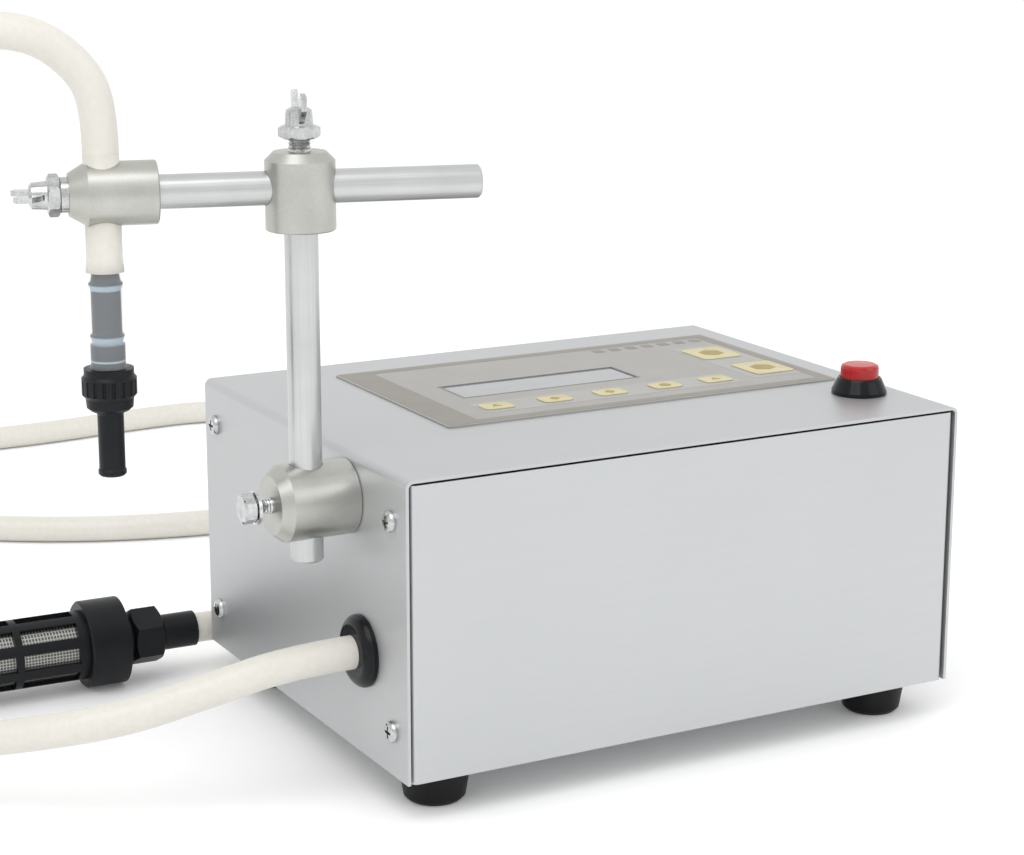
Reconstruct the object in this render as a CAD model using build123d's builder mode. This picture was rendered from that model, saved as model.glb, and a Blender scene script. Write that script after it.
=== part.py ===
"""Bench-top piston liquid filler: sheet-metal case, screw-driven piston pump, clamp stand and hoses.

Frame: +Z up, the user stands at -Y and the clamp stand is on the -X side. The origin is the middle of
the footprint of the case and its stand, at table level. Lengths are in millimetres.
"""
import os
from math import cos, hypot, pi, radians, sin, sqrt, tan

from build123d import *

os.makedirs("parts", exist_ok=True)

# ---------------------------------------------------------------- driving dimensions
# case
case_width = 240.0
case_depth = 186.0
case_height = 112.0
sheet = 1.2
cover_bend = 3.0
panel_gap = 0.8
flange_width = 20.0
foot_height = 15.0
foot_top_radius = 13.5
foot_bottom_radius = 11.5
foot_inset = 21.0
foot_bore_radius = 2.3
foot_counterbore_radius = 5.0
foot_counterbore_depth = 7.0

# fasteners
screw_m4_radius = 2.0
screw_m4_head_radius = 4.0
screw_m4_head_height = 2.6
screw_m4_length = 8.0
cover_screw_inset_y = 11.5
cover_screw_inset_z = 17.0
screw_m3_radius = 1.5
screw_m3_head_radius = 2.8
screw_m3_head_height = 1.8
screw_m3_length = 9.0
thread_gap = 0.05
hole_gap = 0.15
rest_gap = 0.05

# clamp stand
rod_radius = 6.0
rod_gap = 0.1
rod_edge = 0.8
base_block_radius = 14.0
base_block_length = 30.0
base_block_chamfer = 3.2
mast_out = 16.0
mast_y_from_front = 48.5
clamp_height = 110.7
mast_bottom = 88.5
arm_height = 224.0
cross_block_radius = 12.4
cross_block_below = 15.0
cross_block_above = 12.5
cross_block_chamfer = 3.0
arm_turn = 14.0
arm_tail = 64.4
nozzle_block_start = 49.8
nozzle_block_length = 30.2
nozzle_block_radius = 11.1
nozzle_block_taper = 6.2
nozzle_block_end_radius = 7.4
hose_hole_out = 68.5
arm_socket_depth = 11.0
wing_thread_radius = 4.0
lock_nut_flats = 13.0
lock_nut_height = 4.6
cross_thread_shown = 4.5
nozzle_washer_height = 2.6
nozzle_washer_radius = 6.2
wing_hub_radius = 5.0
wing_hub_height = 6.0
wing_span = 22.0
wing_height = 11.6
wing_thickness = 1.9
base_bolt_radius = 3.0
base_bolt_shown = 5.4
base_bolt_flats = 10.0
base_bolt_head = 4.6
base_washer_height = 1.2
base_washer_radius = 6.2
clamp_touch = 0.1
fixing_screw_radius = 4.0
fixing_head_radius = 6.5
fixing_head_height = 7.0
fixing_depth = 8.0

# hoses and nozzle
hose_radius = 6.25
hose_bore_radius = 4.25
hose_gap = 0.1
nozzle_hose_bottom = 163.3
nozzle_hose_top = 238.0
nozzle_hose_bulge = 7.4
stretched_wall = 0.9
barb_top = 196.5
barb_radius = 5.7
barb_ring_radius = 6.0
barb_bore_radius = 3.0
nozzle_nut_radius = 9.6
nozzle_nut_rim_radius = 8.7
nozzle_nut_bottom = 148.2
nozzle_tip_radius = 4.6
nozzle_tip_bottom = 124.8
nozzle_tip_bore = 3.0

# side and rear grommets
grommet_hole_radius = 10.5
grommet_lip_radius = 13.5
grommet_lip_height = 4.6
grommet_inner_lip = 2.4
side_grommet_from_front = 36.5
side_grommet_height = 55.0
rear_grommet_x = 62.0
rear_grommet_height = 52.0

# control panel
overlay_width = 178.5
overlay_depth = 103.0
overlay_sheet = 0.6
overlay_corner = 2.0
overlay_left = 48.5
overlay_from_front = 61.5
window_width = 80.0
window_depth = 21.5
window_left = 76.5
window_from_front = 102.5
display_frame = 6.0
display_depth = 9.0
board_width = 130.0
board_depth = 80.0
board_sheet = 1.6
board_drop = 12.0
spacer_radius = 3.5
spacer_inset = 6.0
button_from_right = 19.5
button_from_front = 38.0
button_base_radius = 11.0
button_rim_radius = 8.9
button_base_height = 6.6
button_thread_radius = 8.0
button_depth = 24.0
button_cap_radius = 7.6
button_cap_rise = 5.4
button_travel = 3.0
button_well = 17.0
button_skirt = 7.0
button_gap = 0.3

# rear panel
inlet_width = 27.4
inlet_height = 20.0
inlet_flange = 3.0
inlet_lip = 2.4
inlet_x = -78.0
inlet_z = 62.0
inlet_deep = 20.0
socket_width = 23.0
socket_height = 15.6
socket_deep = 17.0
blade_recess = 6.5
blade_pitch = 7.0
blade_width = 2.0
blade_height = 4.0
rocker_width = 22.0
rocker_height = 13.4
rocker_x = -78.0
rocker_z = 94.0
rocker_deep = 18.0
rocker_rim = 1.6
rocker_rim_width = 1.5
rocker_half_length = 7.8
rocker_body = 10.2
rocker_tilt = 9.0
rocker_pivot_depth = 2.0
rocker_pin_radius = 1.2
jack_x = -28.0
jack_z = 52.0
jack_radius = 5.8
jack_bore_radius = 3.25
jack_deep = 26.0
jack_nut_radius = 7.5
jack_nut_height = 2.4

# piston pump
pump_y = 22.0
pump_rise = 44.0
stroke = 36.0
screw_lead = 8.0
lead_screw_radius = 4.0
cylinder_bore_radius = 13.0
cylinder_wall = 4.0
cylinder_length = 50.0
valve_head_length = 22.0
valve_head_x = -106.0
valve_head_width = 54.0
valve_head_height = 40.0
plate_thickness = 8.0
motor_plate_thickness = 6.0
carriage_length = 14.0
carriage_height = 24.0
piston_length = 10.0
piston_clearance = 0.08
seal_section = 2.4
seal_gap = 0.03
dead_space = 1.0
piston_rod_radius = 7.0
piston_rod_bore_radius = 4.6
guide_rod_radius = 3.0
guide_rod_spread = 21.5
run_gap = 0.06
motor_size = 42.3
motor_length = 40.0
motor_pilot_radius = 11.0
motor_pilot_height = 2.0
motor_screw_spread = 31.0
ball_radius = 3.5
port_radius = 2.5
ball_pocket_radius = 4.2
ball_pocket_height = 10.0
ball_lift = 2.5
elbow_thread_radius = 6.0
elbow_thread_length = 6.0
elbow_body = 14.0
elbow_barb_length = 16.0
elbow_barb_radius = 4.2

# inlet strainer
strainer_axis_height = 18.0
strainer_height = 36.0
strainer_x = -124.8
strainer_y = 102.4
strainer_turn = 1.5
strainer_sleeve_radius = 7.4
strainer_sleeve_length = 15.3
strainer_hex_flats = 21.0
strainer_hex_length = 13.2
strainer_neck_length = 4.0
strainer_collar_length = 16.5
strainer_cage_radius = 14.3
strainer_cage_wall = 2.0
strainer_cage_length = 58.0
strainer_bar_count = 8
strainer_bar_width = 4.2
strainer_cap_length = 8.0
strainer_mesh_wall = 0.6

# ---------------------------------------------------------------- derived places
turn = radians(arm_turn)
arm_dir = Vector(-cos(turn), sin(turn), 0)
wing_reach = (
    nozzle_block_start + nozzle_block_length + nozzle_washer_height + lock_nut_height + wing_height
)
stand_left = case_width / 2 + mast_out + cos(turn) * wing_reach + sin(turn) * wing_span / 2
case_right_reach = case_width / 2 + screw_m4_head_height
case_x = (stand_left - case_right_reach) / 2
case_y = -grommet_lip_height / 2
left_x = case_x - case_width / 2
right_x = case_x + case_width / 2
front_y = case_y - case_depth / 2
rear_y = case_y + case_depth / 2
case_bottom = foot_height
case_top = foot_height + case_height
floor_z = case_bottom + sheet
roof_z = case_top - sheet
tub_width = case_width - 2 * (sheet + panel_gap)
tub_height = case_height - sheet - panel_gap
mast_x = left_x - mast_out
mast_y = front_y + mast_y_from_front
side_grommet_y = front_y + side_grommet_from_front
pump_axis_y = case_y + pump_y
pump_axis_z = floor_z + pump_rise
head_x = case_x + valve_head_x
cylinder_x = head_x + valve_head_length
cylinder_plate_x = cylinder_x + cylinder_length
piston_x = cylinder_x + dead_space
carriage_x = cylinder_plate_x + plate_thickness + dead_space
motor_plate_x = carriage_x + carriage_length + stroke + 7.0
motor_x = motor_plate_x + motor_plate_thickness


def finish(part, name):
    """Give the piece its name and write it to its own file."""
    part.label = name
    export_step(part, f"parts/{name}.step")
    print(f"{name}: {len(part.solids())} solids, {part.volume:.0f} mm3")


def corner_points(half_x, half_y):
    """The four corners of a rectangle about a centre."""
    return [(i * half_x, j * half_y) for i in (-1, 1) for j in (-1, 1)]


# ---------------------------------------------------------------- case
foot_places = [
    (case_x + x, case_y + y)
    for x, y in corner_points(case_width / 2 - foot_inset, case_depth / 2 - foot_inset)
]
cover_screw_places = [
    (case_y + y, case_bottom + case_height / 2 + z)
    for y, z in corner_points(case_depth / 2 - cover_screw_inset_y, case_height / 2 - cover_screw_inset_z)
]
plate_screw_places = [
    (x + thickness / 2, pump_axis_y + side * valve_head_width / 3)
    for x, thickness in ((cylinder_plate_x, plate_thickness), (motor_plate_x, motor_plate_thickness))
    for side in (-1, 1)
]
spacer_places = [
    (case_x + 8.0 + x, case_y + 14.0 + y)
    for x, y in corner_points(board_width / 2 - spacer_inset, board_depth / 2 - spacer_inset)
]
window_x = left_x + window_left + window_width / 2
window_y = front_y + window_from_front + window_depth / 2
button_x = right_x - button_from_right
button_y = front_y + button_from_front


def rear_plane(outward):
    """The rear panel's outer face moved outward, with its normal inward, X along the case and Y up."""
    return Plane(origin=(case_x, rear_y + outward, 0), x_dir=(1, 0, 0), z_dir=(0, -1, 0))


with BuildPart() as chassis:
    with BuildSketch(Plane.XY.offset(case_bottom)):
        with Locations((case_x, case_y)):
            Rectangle(tub_width, case_depth)
    extrude(amount=tub_height)
    fillet(chassis.edges().filter_by(Axis.Z), radius=2 * sheet)
    with BuildSketch(Plane.XY.offset(floor_z)):
        with Locations((case_x, case_y)):
            RectangleRounded(tub_width - 2 * sheet, case_depth - 2 * sheet, sheet)
    extrude(amount=case_height, mode=Mode.SUBTRACT)
    # the sides are open between the returns that take the cover's screws
    with BuildSketch(Plane.XY.offset(floor_z)):
        with Locations((case_x, case_y)):
            Rectangle(case_width, case_depth - 2 * flange_width)
    extrude(amount=case_height, mode=Mode.SUBTRACT)
    with BuildSketch(Plane.XY.offset(case_bottom)):
        with Locations(*foot_places):
            Circle(screw_m4_radius + thread_gap)
        with Locations(*plate_screw_places):
            Circle(screw_m3_radius + hole_gap)
    extrude(amount=sheet, mode=Mode.SUBTRACT)
    with BuildSketch(Plane.YZ.offset(left_x)):
        with Locations(*cover_screw_places):
            Circle(screw_m4_radius + thread_gap)
    extrude(amount=case_width, mode=Mode.SUBTRACT)
    with BuildSketch(rear_plane(0)):
        with Locations((inlet_x, inlet_z)):
            Rectangle(inlet_width, inlet_height)
        with Locations((rocker_x, rocker_z)):
            Rectangle(rocker_width, rocker_height)
        with Locations((jack_x, jack_z)):
            Circle(jack_radius + hole_gap)
        with Locations((rear_grommet_x, rear_grommet_height)):
            Circle(grommet_hole_radius)
    extrude(amount=2 * sheet, mode=Mode.SUBTRACT)
finish(chassis.part, "chassis")

with BuildPart() as cover:
    with BuildSketch(Plane.XZ.offset(-rear_y)):
        with Locations((case_x, case_bottom + case_height / 2)):
            Rectangle(case_width, case_height)
    extrude(amount=case_depth)
    top_edges = cover.edges().filter_by(Axis.Y).group_by(Axis.Z)[-1]
    fillet(top_edges, radius=cover_bend)
    with BuildSketch(Plane.XZ.offset(-rear_y)) as cover_inside:
        with Locations((case_x, case_bottom + (case_height - sheet) / 2)):
            Rectangle(case_width - 2 * sheet, case_height - sheet)
        fillet(cover_inside.vertices().group_by(Axis.Y)[-1], radius=cover_bend - sheet)
    extrude(amount=case_depth, mode=Mode.SUBTRACT)
    with BuildSketch(Plane.YZ.offset(left_x)):
        with Locations(*cover_screw_places):
            Circle(screw_m4_radius + hole_gap)
    extrude(amount=case_width, mode=Mode.SUBTRACT)
    with BuildSketch(Plane.YZ.offset(left_x)):
        with Locations((mast_y, clamp_height)):
            Circle(fixing_screw_radius + hole_gap)
        with Locations((side_grommet_y, side_grommet_height)):
            Circle(grommet_hole_radius)
    extrude(amount=2 * sheet, mode=Mode.SUBTRACT)
    with BuildSketch(Plane.XY.offset(roof_z)):
        with Locations((window_x, window_y)):
            Rectangle(window_width, window_depth)
        with Locations((button_x, button_y)):
            Circle(button_thread_radius + hole_gap)
    extrude(amount=sheet, mode=Mode.SUBTRACT)
finish(cover.part, "cover")


# ---------------------------------------------------------------- shared shapes
def side_of(place):
    """The plane through the place's axis: its X is the radius and its Y runs along the axis."""
    return Plane(origin=place.origin, x_dir=place.x_dir, z_dir=place.y_dir * -1)


def turned(place, profile):
    """A turned piece from points of radius and height about the place's axis."""
    with BuildPart(mode=Mode.PRIVATE) as piece:
        with BuildSketch(side_of(place)):
            with BuildLine():
                Polyline(*profile, close=True)
            make_face()
        revolve(axis=Axis(place.origin, place.z_dir))
    return piece.part


def ring(inner, outer, low, high):
    """Profile of a plain ring."""
    return [(inner, low), (outer, low), (outer, high), (inner, high)]


def threaded(radius, low, high, pitch, depth):
    """Outline points of a thread drawn as grooves, from low to high."""
    count = max(1, round((high - low) / pitch))
    step = (high - low) / count
    points = []
    for k in range(count):
        points += [(radius, low + k * step), (radius - depth, low + (k + 0.5) * step)]
    return points + [(radius, high)]


def pan_screw(place, radius, head_radius, head_height, length):
    """A cross-recessed pan-head screw whose head sits on the place and whose shank goes down."""
    with BuildPart(mode=Mode.PRIVATE) as screw:
        with BuildSketch(side_of(place)):
            with BuildLine():
                Line((0, -length), (radius, -length))
                Line((radius, -length), (radius, 0))
                Line((radius, 0), (head_radius, 0))
                Line((head_radius, 0), (head_radius, 0.3 * head_height))
                shoulder = (0.55 * head_radius, 0.92 * head_height)
                ThreePointArc((head_radius, 0.3 * head_height), (0.88 * head_radius, 0.7 * head_height), shoulder)
                Line(shoulder, (0, head_height))
                Line((0, head_height), (0, -length))
            make_face()
        revolve(axis=Axis(place.origin, place.z_dir))
        with BuildSketch(place.offset(head_height)):
            Rectangle(1.1 * head_radius, 0.24 * head_radius)
            Rectangle(0.24 * head_radius, 1.1 * head_radius)
        extrude(amount=-0.62 * head_height, mode=Mode.SUBTRACT)
    return screw.part


def elbow(place, thread_length):
    """A hose elbow screwed in behind the place; its barb points along the place's X."""
    body_centre = elbow_body / 2
    barb_plane = Plane(
        origin=place.origin + place.z_dir * body_centre, x_dir=place.y_dir, z_dir=place.x_dir
    )
    with BuildPart(mode=Mode.PRIVATE) as fitting:
        with BuildSketch(place):
            RectangleRounded(elbow_body, elbow_body, 1.5)
        extrude(amount=elbow_body)
        with BuildSketch(place):
            Circle(elbow_thread_radius)
        extrude(amount=-thread_length)
        with BuildSketch(barb_plane):
            Circle(elbow_barb_radius)
        extrude(amount=body_centre + elbow_barb_length)
        with BuildSketch(place.offset(body_centre)):
            Circle(port_radius)
        extrude(amount=-body_centre - thread_length, mode=Mode.SUBTRACT)
        with BuildSketch(barb_plane):
            Circle(port_radius)
        extrude(amount=body_centre + elbow_barb_length, mode=Mode.SUBTRACT)
    return fitting.part


def wing_screw(place, tip, hub_base):
    """A wing screw along the place's axis: shank from -tip to the hub, wings along the place's Y."""
    wing_plane = Plane(origin=place.origin, x_dir=place.y_dir, z_dir=place.x_dir)
    with BuildPart(mode=Mode.PRIVATE) as screw:
        with BuildSketch(side_of(place)):
            with BuildLine():
                shank = threaded(wing_thread_radius, 0.2, hub_base, 1.25, 0.45)
                Polyline(
                    (0, -tip),
                    (wing_thread_radius - 0.6, -tip),
                    (wing_thread_radius, -tip + 0.6),
                    *shank,
                    (wing_hub_radius, hub_base),
                    (wing_hub_radius - 0.4, hub_base + wing_hub_height - 0.8),
                    (wing_hub_radius - 1.6, hub_base + wing_hub_height),
                    (0, hub_base + wing_hub_height),
                    close=True,
                )
            make_face()
        revolve(axis=Axis(place.origin, place.z_dir))
        for side in (-1, 1):
            with BuildSketch(wing_plane) as wing:
                with BuildLine():
                    Polyline(
                        (0, hub_base + 0.8),
                        (side * 0.5 * wing_span * 0.5, hub_base + 1.0),
                        (side * 0.5 * wing_span, hub_base + 0.5 * wing_height),
                        (side * 0.5 * wing_span, hub_base + 0.92 * wing_height),
                        (side * 0.36 * wing_span, hub_base + wing_height),
                        (side * 0.17 * wing_span, hub_base + wing_hub_height - 0.4),
                        (0, hub_base + wing_hub_height - 0.4),
                        close=True,
                    )
                make_face()
                tips = wing.vertices().sort_by(Axis.X)
                fillet(tips[:2] if side < 0 else tips[-2:], radius=1.2)
            extrude(amount=wing_thickness / 2, both=True)
    return screw.part


def hex_piece(place, flats, low, high, bore):
    """A chamfered hexagon along the place's axis with a bore, or none if the bore is 0."""
    with BuildPart(mode=Mode.PRIVATE) as nut:
        with BuildSketch(place.offset(low)):
            RegularPolygon(flats / 2, 6, major_radius=False)
        extrude(amount=high - low)
        with BuildSketch(side_of(place)):
            with BuildLine():
                corner = flats / sqrt(3)
                cut = min(0.12 * flats, 0.5 * (high - low))
                Polyline(
                    (0, low),
                    (corner - cut, low),
                    (corner, low + 0.6 * cut),
                    (corner, high - 0.6 * cut),
                    (corner - cut, high),
                    (0, high),
                    close=True,
                )
            make_face()
        revolve(axis=Axis(place.origin, place.z_dir), mode=Mode.INTERSECT)
        if bore:
            with BuildSketch(place.offset(low)):
                Circle(bore)
            extrude(amount=high - low, mode=Mode.SUBTRACT)
    return nut.part


def grommet(place):
    """A rubber bush in a panel; the place is the panel's outer face and its axis points outward."""
    lip = grommet_lip_height
    with BuildPart(mode=Mode.PRIVATE) as bush:
        with BuildSketch(side_of(place)):
            with BuildLine():
                Polyline(
                    (hose_radius + rest_gap, lip),
                    (hose_radius + rest_gap, -sheet - grommet_inner_lip),
                    (grommet_lip_radius - 1.0, -sheet - grommet_inner_lip),
                    (grommet_lip_radius - 1.0, -sheet - rest_gap),
                    (grommet_hole_radius - rest_gap, -sheet - rest_gap),
                    (grommet_hole_radius - rest_gap, rest_gap),
                    (grommet_lip_radius, rest_gap),
                    (grommet_lip_radius, 0.35 * lip),
                )
                ThreePointArc(
                    (grommet_lip_radius, 0.35 * lip),
                    (grommet_lip_radius - 1.6, 0.83 * lip),
                    (hose_radius + 3.0, lip),
                )
                Line((hose_radius + 3.0, lip), (hose_radius + rest_gap, lip))
            make_face()
        revolve(axis=Axis(place.origin, place.z_dir))
    return bush.part


def bend_radii(points):
    """The largest tangent arc at each corner of a route: 0.45 of the shorter run over tan(turn / 2)."""
    corners = [Vector(*p) for p in points]
    radii = []
    for before, here, after in zip(corners, corners[1:], corners[2:]):
        first = here - before
        second = after - here
        half_turn = radians(first.get_angle(second)) / 2
        radii.append(0.45 * min(first.length, second.length) / tan(half_turn))
    return radii


def make_hose(points, name, bore=0.0):
    """A hose along straight runs joined by tangent arcs; prints its bends, length and volume check."""
    radii = bend_radii(points)
    start = Vector(*points[0])
    first_run = Vector(*points[1]) - start
    with BuildPart() as hose:
        with BuildLine() as route:
            FilletPolyline(*points, radius=radii)
        with BuildSketch(Plane(origin=start, z_dir=first_run)):
            Circle(hose_radius)
            if bore:
                Circle(bore, mode=Mode.SUBTRACT)
        sweep()
    length = sum(edge.length for edge in route.edges())
    section = pi * (hose_radius**2 - bore**2)
    print(f"{name}: bends {[round(r) for r in radii]}, length {length:.0f},", end=" ")
    print(f"volume over section times length {hose.part.volume / (section * length):.4f}")
    finish(hose.part, name)


# ---------------------------------------------------------------- fasteners and feet of the case
side_screws = []
for panel_x, outward in ((left_x, -1), (right_x, 1)):
    for y, z in cover_screw_places:
        seat = Plane(origin=(panel_x, y, z), x_dir=(0, 1, 0), z_dir=(outward, 0, 0))
        side_screws.append(
            pan_screw(seat, screw_m4_radius, screw_m4_head_radius, screw_m4_head_height, screw_m4_length)
        )
with BuildPart() as cover_screws:
    add(side_screws)
finish(cover_screws.part, "cover_screws")

with BuildPart() as feet:
    for x, y in foot_places:
        foot_axis = Plane(origin=(x, y, 0), x_dir=(1, 0, 0), z_dir=(0, 0, 1))
        with BuildSketch(side_of(foot_axis)) as foot_profile:
            with BuildLine():
                Polyline(
                    (foot_bore_radius, foot_height),
                    (foot_bore_radius, foot_counterbore_depth),
                    (foot_counterbore_radius, foot_counterbore_depth),
                    (foot_counterbore_radius, 0),
                    (foot_bottom_radius - 1.5, 0),
                    (foot_bottom_radius, 1.5),
                    (foot_top_radius, foot_height - 1.0),
                    (foot_top_radius - 0.6, foot_height),
                    close=True,
                )
            make_face()
        revolve(axis=Axis(foot_axis.origin, foot_axis.z_dir))
finish(feet.part, "feet")

foot_screw_parts = [
    pan_screw(
        Plane(origin=(x, y, foot_counterbore_depth), x_dir=(1, 0, 0), z_dir=(0, 0, -1)),
        screw_m4_radius,
        screw_m4_head_radius,
        screw_m4_head_height,
        foot_height - foot_counterbore_depth + sheet + 5.0,
    )
    for x, y in foot_places
]
with BuildPart() as foot_screws:
    add(foot_screw_parts)
finish(foot_screws.part, "foot_screws")

side_exit = Plane(
    origin=(left_x, side_grommet_y, side_grommet_height), x_dir=(0, 1, 0), z_dir=(-1, 0, 0)
)
rear_exit = Plane(
    origin=(case_x + rear_grommet_x, rear_y, rear_grommet_height), x_dir=(1, 0, 0), z_dir=(0, 1, 0)
)
with BuildPart() as hose_grommet:
    add(grommet(side_exit))
finish(hose_grommet.part, "hose_grommet")
with BuildPart() as suction_grommet:
    add(grommet(rear_exit))
finish(suction_grommet.part, "suction_grommet")

# ---------------------------------------------------------------- control panel
with BuildPart() as keypad_overlay:
    with BuildSketch(Plane.XY.offset(case_top)):
        with Locations(
            (left_x + overlay_left + overlay_width / 2, front_y + overlay_from_front + overlay_depth / 2)
        ):
            RectangleRounded(overlay_width, overlay_depth, overlay_corner)
        with Locations((window_x, window_y)):
            Rectangle(window_width, window_depth, mode=Mode.SUBTRACT)
    extrude(amount=overlay_sheet)
finish(keypad_overlay.part, "keypad_overlay")

board_top = roof_z - board_drop
with BuildPart() as display_module:
    with BuildSketch(Plane.XY.offset(board_top)):
        with Locations((window_x, window_y)):
            RectangleRounded(window_width + 2 * display_frame, window_depth + 2 * display_frame, 1.0)
    extrude(amount=board_drop - rest_gap)
    with BuildSketch(Plane.XY.offset(roof_z - rest_gap)):
        with Locations((window_x, window_y)):
            Rectangle(window_width - 2 * hole_gap, window_depth - 2 * hole_gap)
    extrude(amount=sheet + rest_gap + 0.5 * overlay_sheet)
finish(display_module.part, "display_module")

board_centre = (case_x + 8.0, case_y + 14.0)
with BuildPart() as control_board:
    with BuildSketch(Plane.XY.offset(board_top - board_sheet)):
        with Locations(board_centre):
            Rectangle(board_width, board_depth)
    extrude(amount=board_sheet)
    # processor, relay, regulator and two connectors under the board
    with BuildSketch(Plane.XY.offset(board_top - board_sheet)):
        with Locations((case_x - 10, case_y + 30)):
            Rectangle(12, 12)
        with Locations((case_x + 40, case_y)):
            Rectangle(19, 15)
        with Locations((case_x + 62, case_y + 34)):
            Rectangle(8, 22)
    extrude(amount=-4.5)
finish(control_board.part, "control_board")

supply_centre = (case_x + 50.0, case_y - 52.0)
supply_size = (92.0, 54.0)
supply_spacers = [
    (supply_centre[0] + x, supply_centre[1] + y)
    for x, y in corner_points(supply_size[0] / 2 - spacer_inset, supply_size[1] / 2 - spacer_inset)
]
with BuildPart() as board_spacers:
    with BuildSketch(Plane.XY.offset(board_top)):
        with Locations(*spacer_places):
            RegularPolygon(spacer_radius, 6)
    extrude(amount=board_drop)
    with BuildSketch(Plane.XY.offset(floor_z)):
        with Locations(*supply_spacers):
            RegularPolygon(spacer_radius, 6)
    extrude(amount=board_drop)
finish(board_spacers.part, "board_spacers")

supply_board_z = floor_z + board_drop
supply_top = supply_board_z + board_sheet
with BuildPart() as supply_board:
    with BuildSketch(Plane.XY.offset(supply_board_z)):
        with Locations(supply_centre):
            Rectangle(*supply_size)
    extrude(amount=board_sheet)
with BuildPart() as supply_transformer:
    with BuildSketch(Plane.XY.offset(supply_top)):
        with Locations((supply_centre[0] + 6, supply_centre[1] + 2)):
            RectangleRounded(33, 30, 2)
    extrude(amount=26)
with BuildPart() as supply_capacitors:
    with BuildSketch(Plane.XY.offset(supply_top)):
        with Locations((supply_centre[0] - 28, supply_centre[1] + 8)):
            Circle(9)
        with Locations((supply_centre[0] + 34, supply_centre[1] + 10), (supply_centre[0] + 34, supply_centre[1] - 6)):
            Circle(5)
    extrude(amount=22)
with BuildPart() as supply_heatsink:
    with BuildSketch(Plane.XY.offset(supply_top)):
        with Locations((supply_centre[0] - 28, supply_centre[1] - 14)):
            Rectangle(26, 4)
    extrude(amount=24)
power_supply = Compound(
    children=[supply_board.part, supply_transformer.part, supply_capacitors.part, supply_heatsink.part]
)
finish(power_supply, "power_supply")

# fill button: bezel, spring-loaded cap and nut
button_axis = Plane(origin=(button_x, button_y, case_top), x_dir=(1, 0, 0), z_dir=(0, 0, 1))
well_floor = button_base_height - button_well
cap_top = button_base_height + button_cap_rise
well_radius = button_cap_radius + button_gap
with BuildPart() as button_bezel:
    add(
        turned(
            button_axis,
            [
                (0, -button_depth),
                (button_thread_radius, -button_depth),
                (button_thread_radius, -sheet),
                (button_thread_radius, rest_gap),
                (button_base_radius, rest_gap),
                (button_base_radius, 1.4),
                (button_rim_radius, button_base_height - 0.6),
                (button_rim_radius - 0.5, button_base_height),
                (well_radius, button_base_height),
                (well_radius, well_floor + 4.5),
                (well_radius - 1.6, well_floor + 4.5),
                (well_radius - 1.6, well_floor),
                (0, well_floor),
            ],
        )
    )
finish(button_bezel.part, "button_bezel")

cap_floor = button_base_height - button_skirt
with BuildPart() as button_cap:
    add(
        turned(
            button_axis,
            [
                (0, cap_top),
                (button_cap_radius - 1.4, cap_top - 0.15),
                (button_cap_radius - 0.4, cap_top - 0.6),
                (button_cap_radius, cap_top - 1.6),
                (button_cap_radius, cap_floor),
                (button_cap_radius - 1.8, cap_floor),
                (button_cap_radius - 1.8, cap_top - 3.0),
                (0, cap_top - 3.0),
            ],
        )
    )
finish(button_cap.part, "button_cap")

spring_radius = 4.6
spring_wire = 0.45
spring_low = well_floor + spring_wire + rest_gap
spring_high = cap_top - 3.0 - spring_wire - rest_gap
with BuildPart() as button_spring:
    with BuildLine(Plane(origin=(button_x, button_y, case_top + spring_low))) as coil:
        Helix(pitch=(spring_high - spring_low) / 6, height=spring_high - spring_low, radius=spring_radius)
    with BuildSketch(Plane(origin=coil.line @ 0, z_dir=coil.line % 0)):
        Circle(spring_wire)
    sweep(is_frenet=True)
finish(button_spring.part, "button_spring")

with BuildPart() as button_nut:
    nut_place = Plane(origin=(button_x, button_y, roof_z), x_dir=(1, 0, 0), z_dir=(0, 0, -1))
    add(hex_piece(nut_place, 21.0, rest_gap, 3.0, button_thread_radius + thread_gap))
finish(button_nut.part, "button_nut")

# ---------------------------------------------------------------- rear panel
with BuildPart() as power_inlet:
    with BuildSketch(rear_plane(inlet_lip)):
        with Locations((inlet_x, inlet_z)):
            RectangleRounded(inlet_width + 2 * inlet_flange, inlet_height + 2 * inlet_flange, 2)
    extrude(amount=inlet_lip - rest_gap)
    with BuildSketch(rear_plane(inlet_lip)):
        with Locations((inlet_x, inlet_z)):
            Rectangle(inlet_width - 2 * hole_gap, inlet_height - 2 * hole_gap)
    extrude(amount=inlet_lip + inlet_deep)
    with BuildSketch(rear_plane(inlet_lip)):
        with Locations((inlet_x, inlet_z)):
            Rectangle(socket_width, socket_height)
    extrude(amount=socket_deep, mode=Mode.SUBTRACT)
    with BuildSketch(rear_plane(inlet_lip - blade_recess)):
        with Locations(
            (inlet_x - blade_pitch, inlet_z - 2), (inlet_x + blade_pitch, inlet_z - 2), (inlet_x, inlet_z + 2)
        ):
            Rectangle(blade_width, blade_height)
    extrude(amount=socket_deep - blade_recess)
finish(power_inlet.part, "power_inlet")

rocker_centre = Vector(case_x + rocker_x, rear_y + rocker_rim, rocker_z)
with BuildPart() as switch_housing:
    with BuildSketch(rear_plane(rocker_rim)):
        with Locations((rocker_x, rocker_z)):
            RectangleRounded(rocker_width + 2 * rocker_rim_width, rocker_height + 2 * rocker_rim_width, 1)
    extrude(amount=rocker_rim - rest_gap)
    with BuildSketch(rear_plane(rocker_rim)):
        with Locations((rocker_x, rocker_z)):
            Rectangle(rocker_width - 2 * hole_gap, rocker_height - 2 * hole_gap)
    extrude(amount=rocker_rim + rocker_deep)
    with BuildSketch(rear_plane(rocker_rim)):
        with Locations((rocker_x, rocker_z)):
            Rectangle(2 * rocker_half_length + 2.6, rocker_body + 2 * button_gap)
    extrude(amount=9.0, mode=Mode.SUBTRACT)
    with BuildSketch(Plane.XY.offset(rocker_z - rocker_height / 2)):
        with Locations((rocker_centre.X, rocker_centre.Y - rocker_pivot_depth)):
            Circle(rocker_pin_radius + run_gap)
    extrude(amount=rocker_height, mode=Mode.SUBTRACT)
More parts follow.
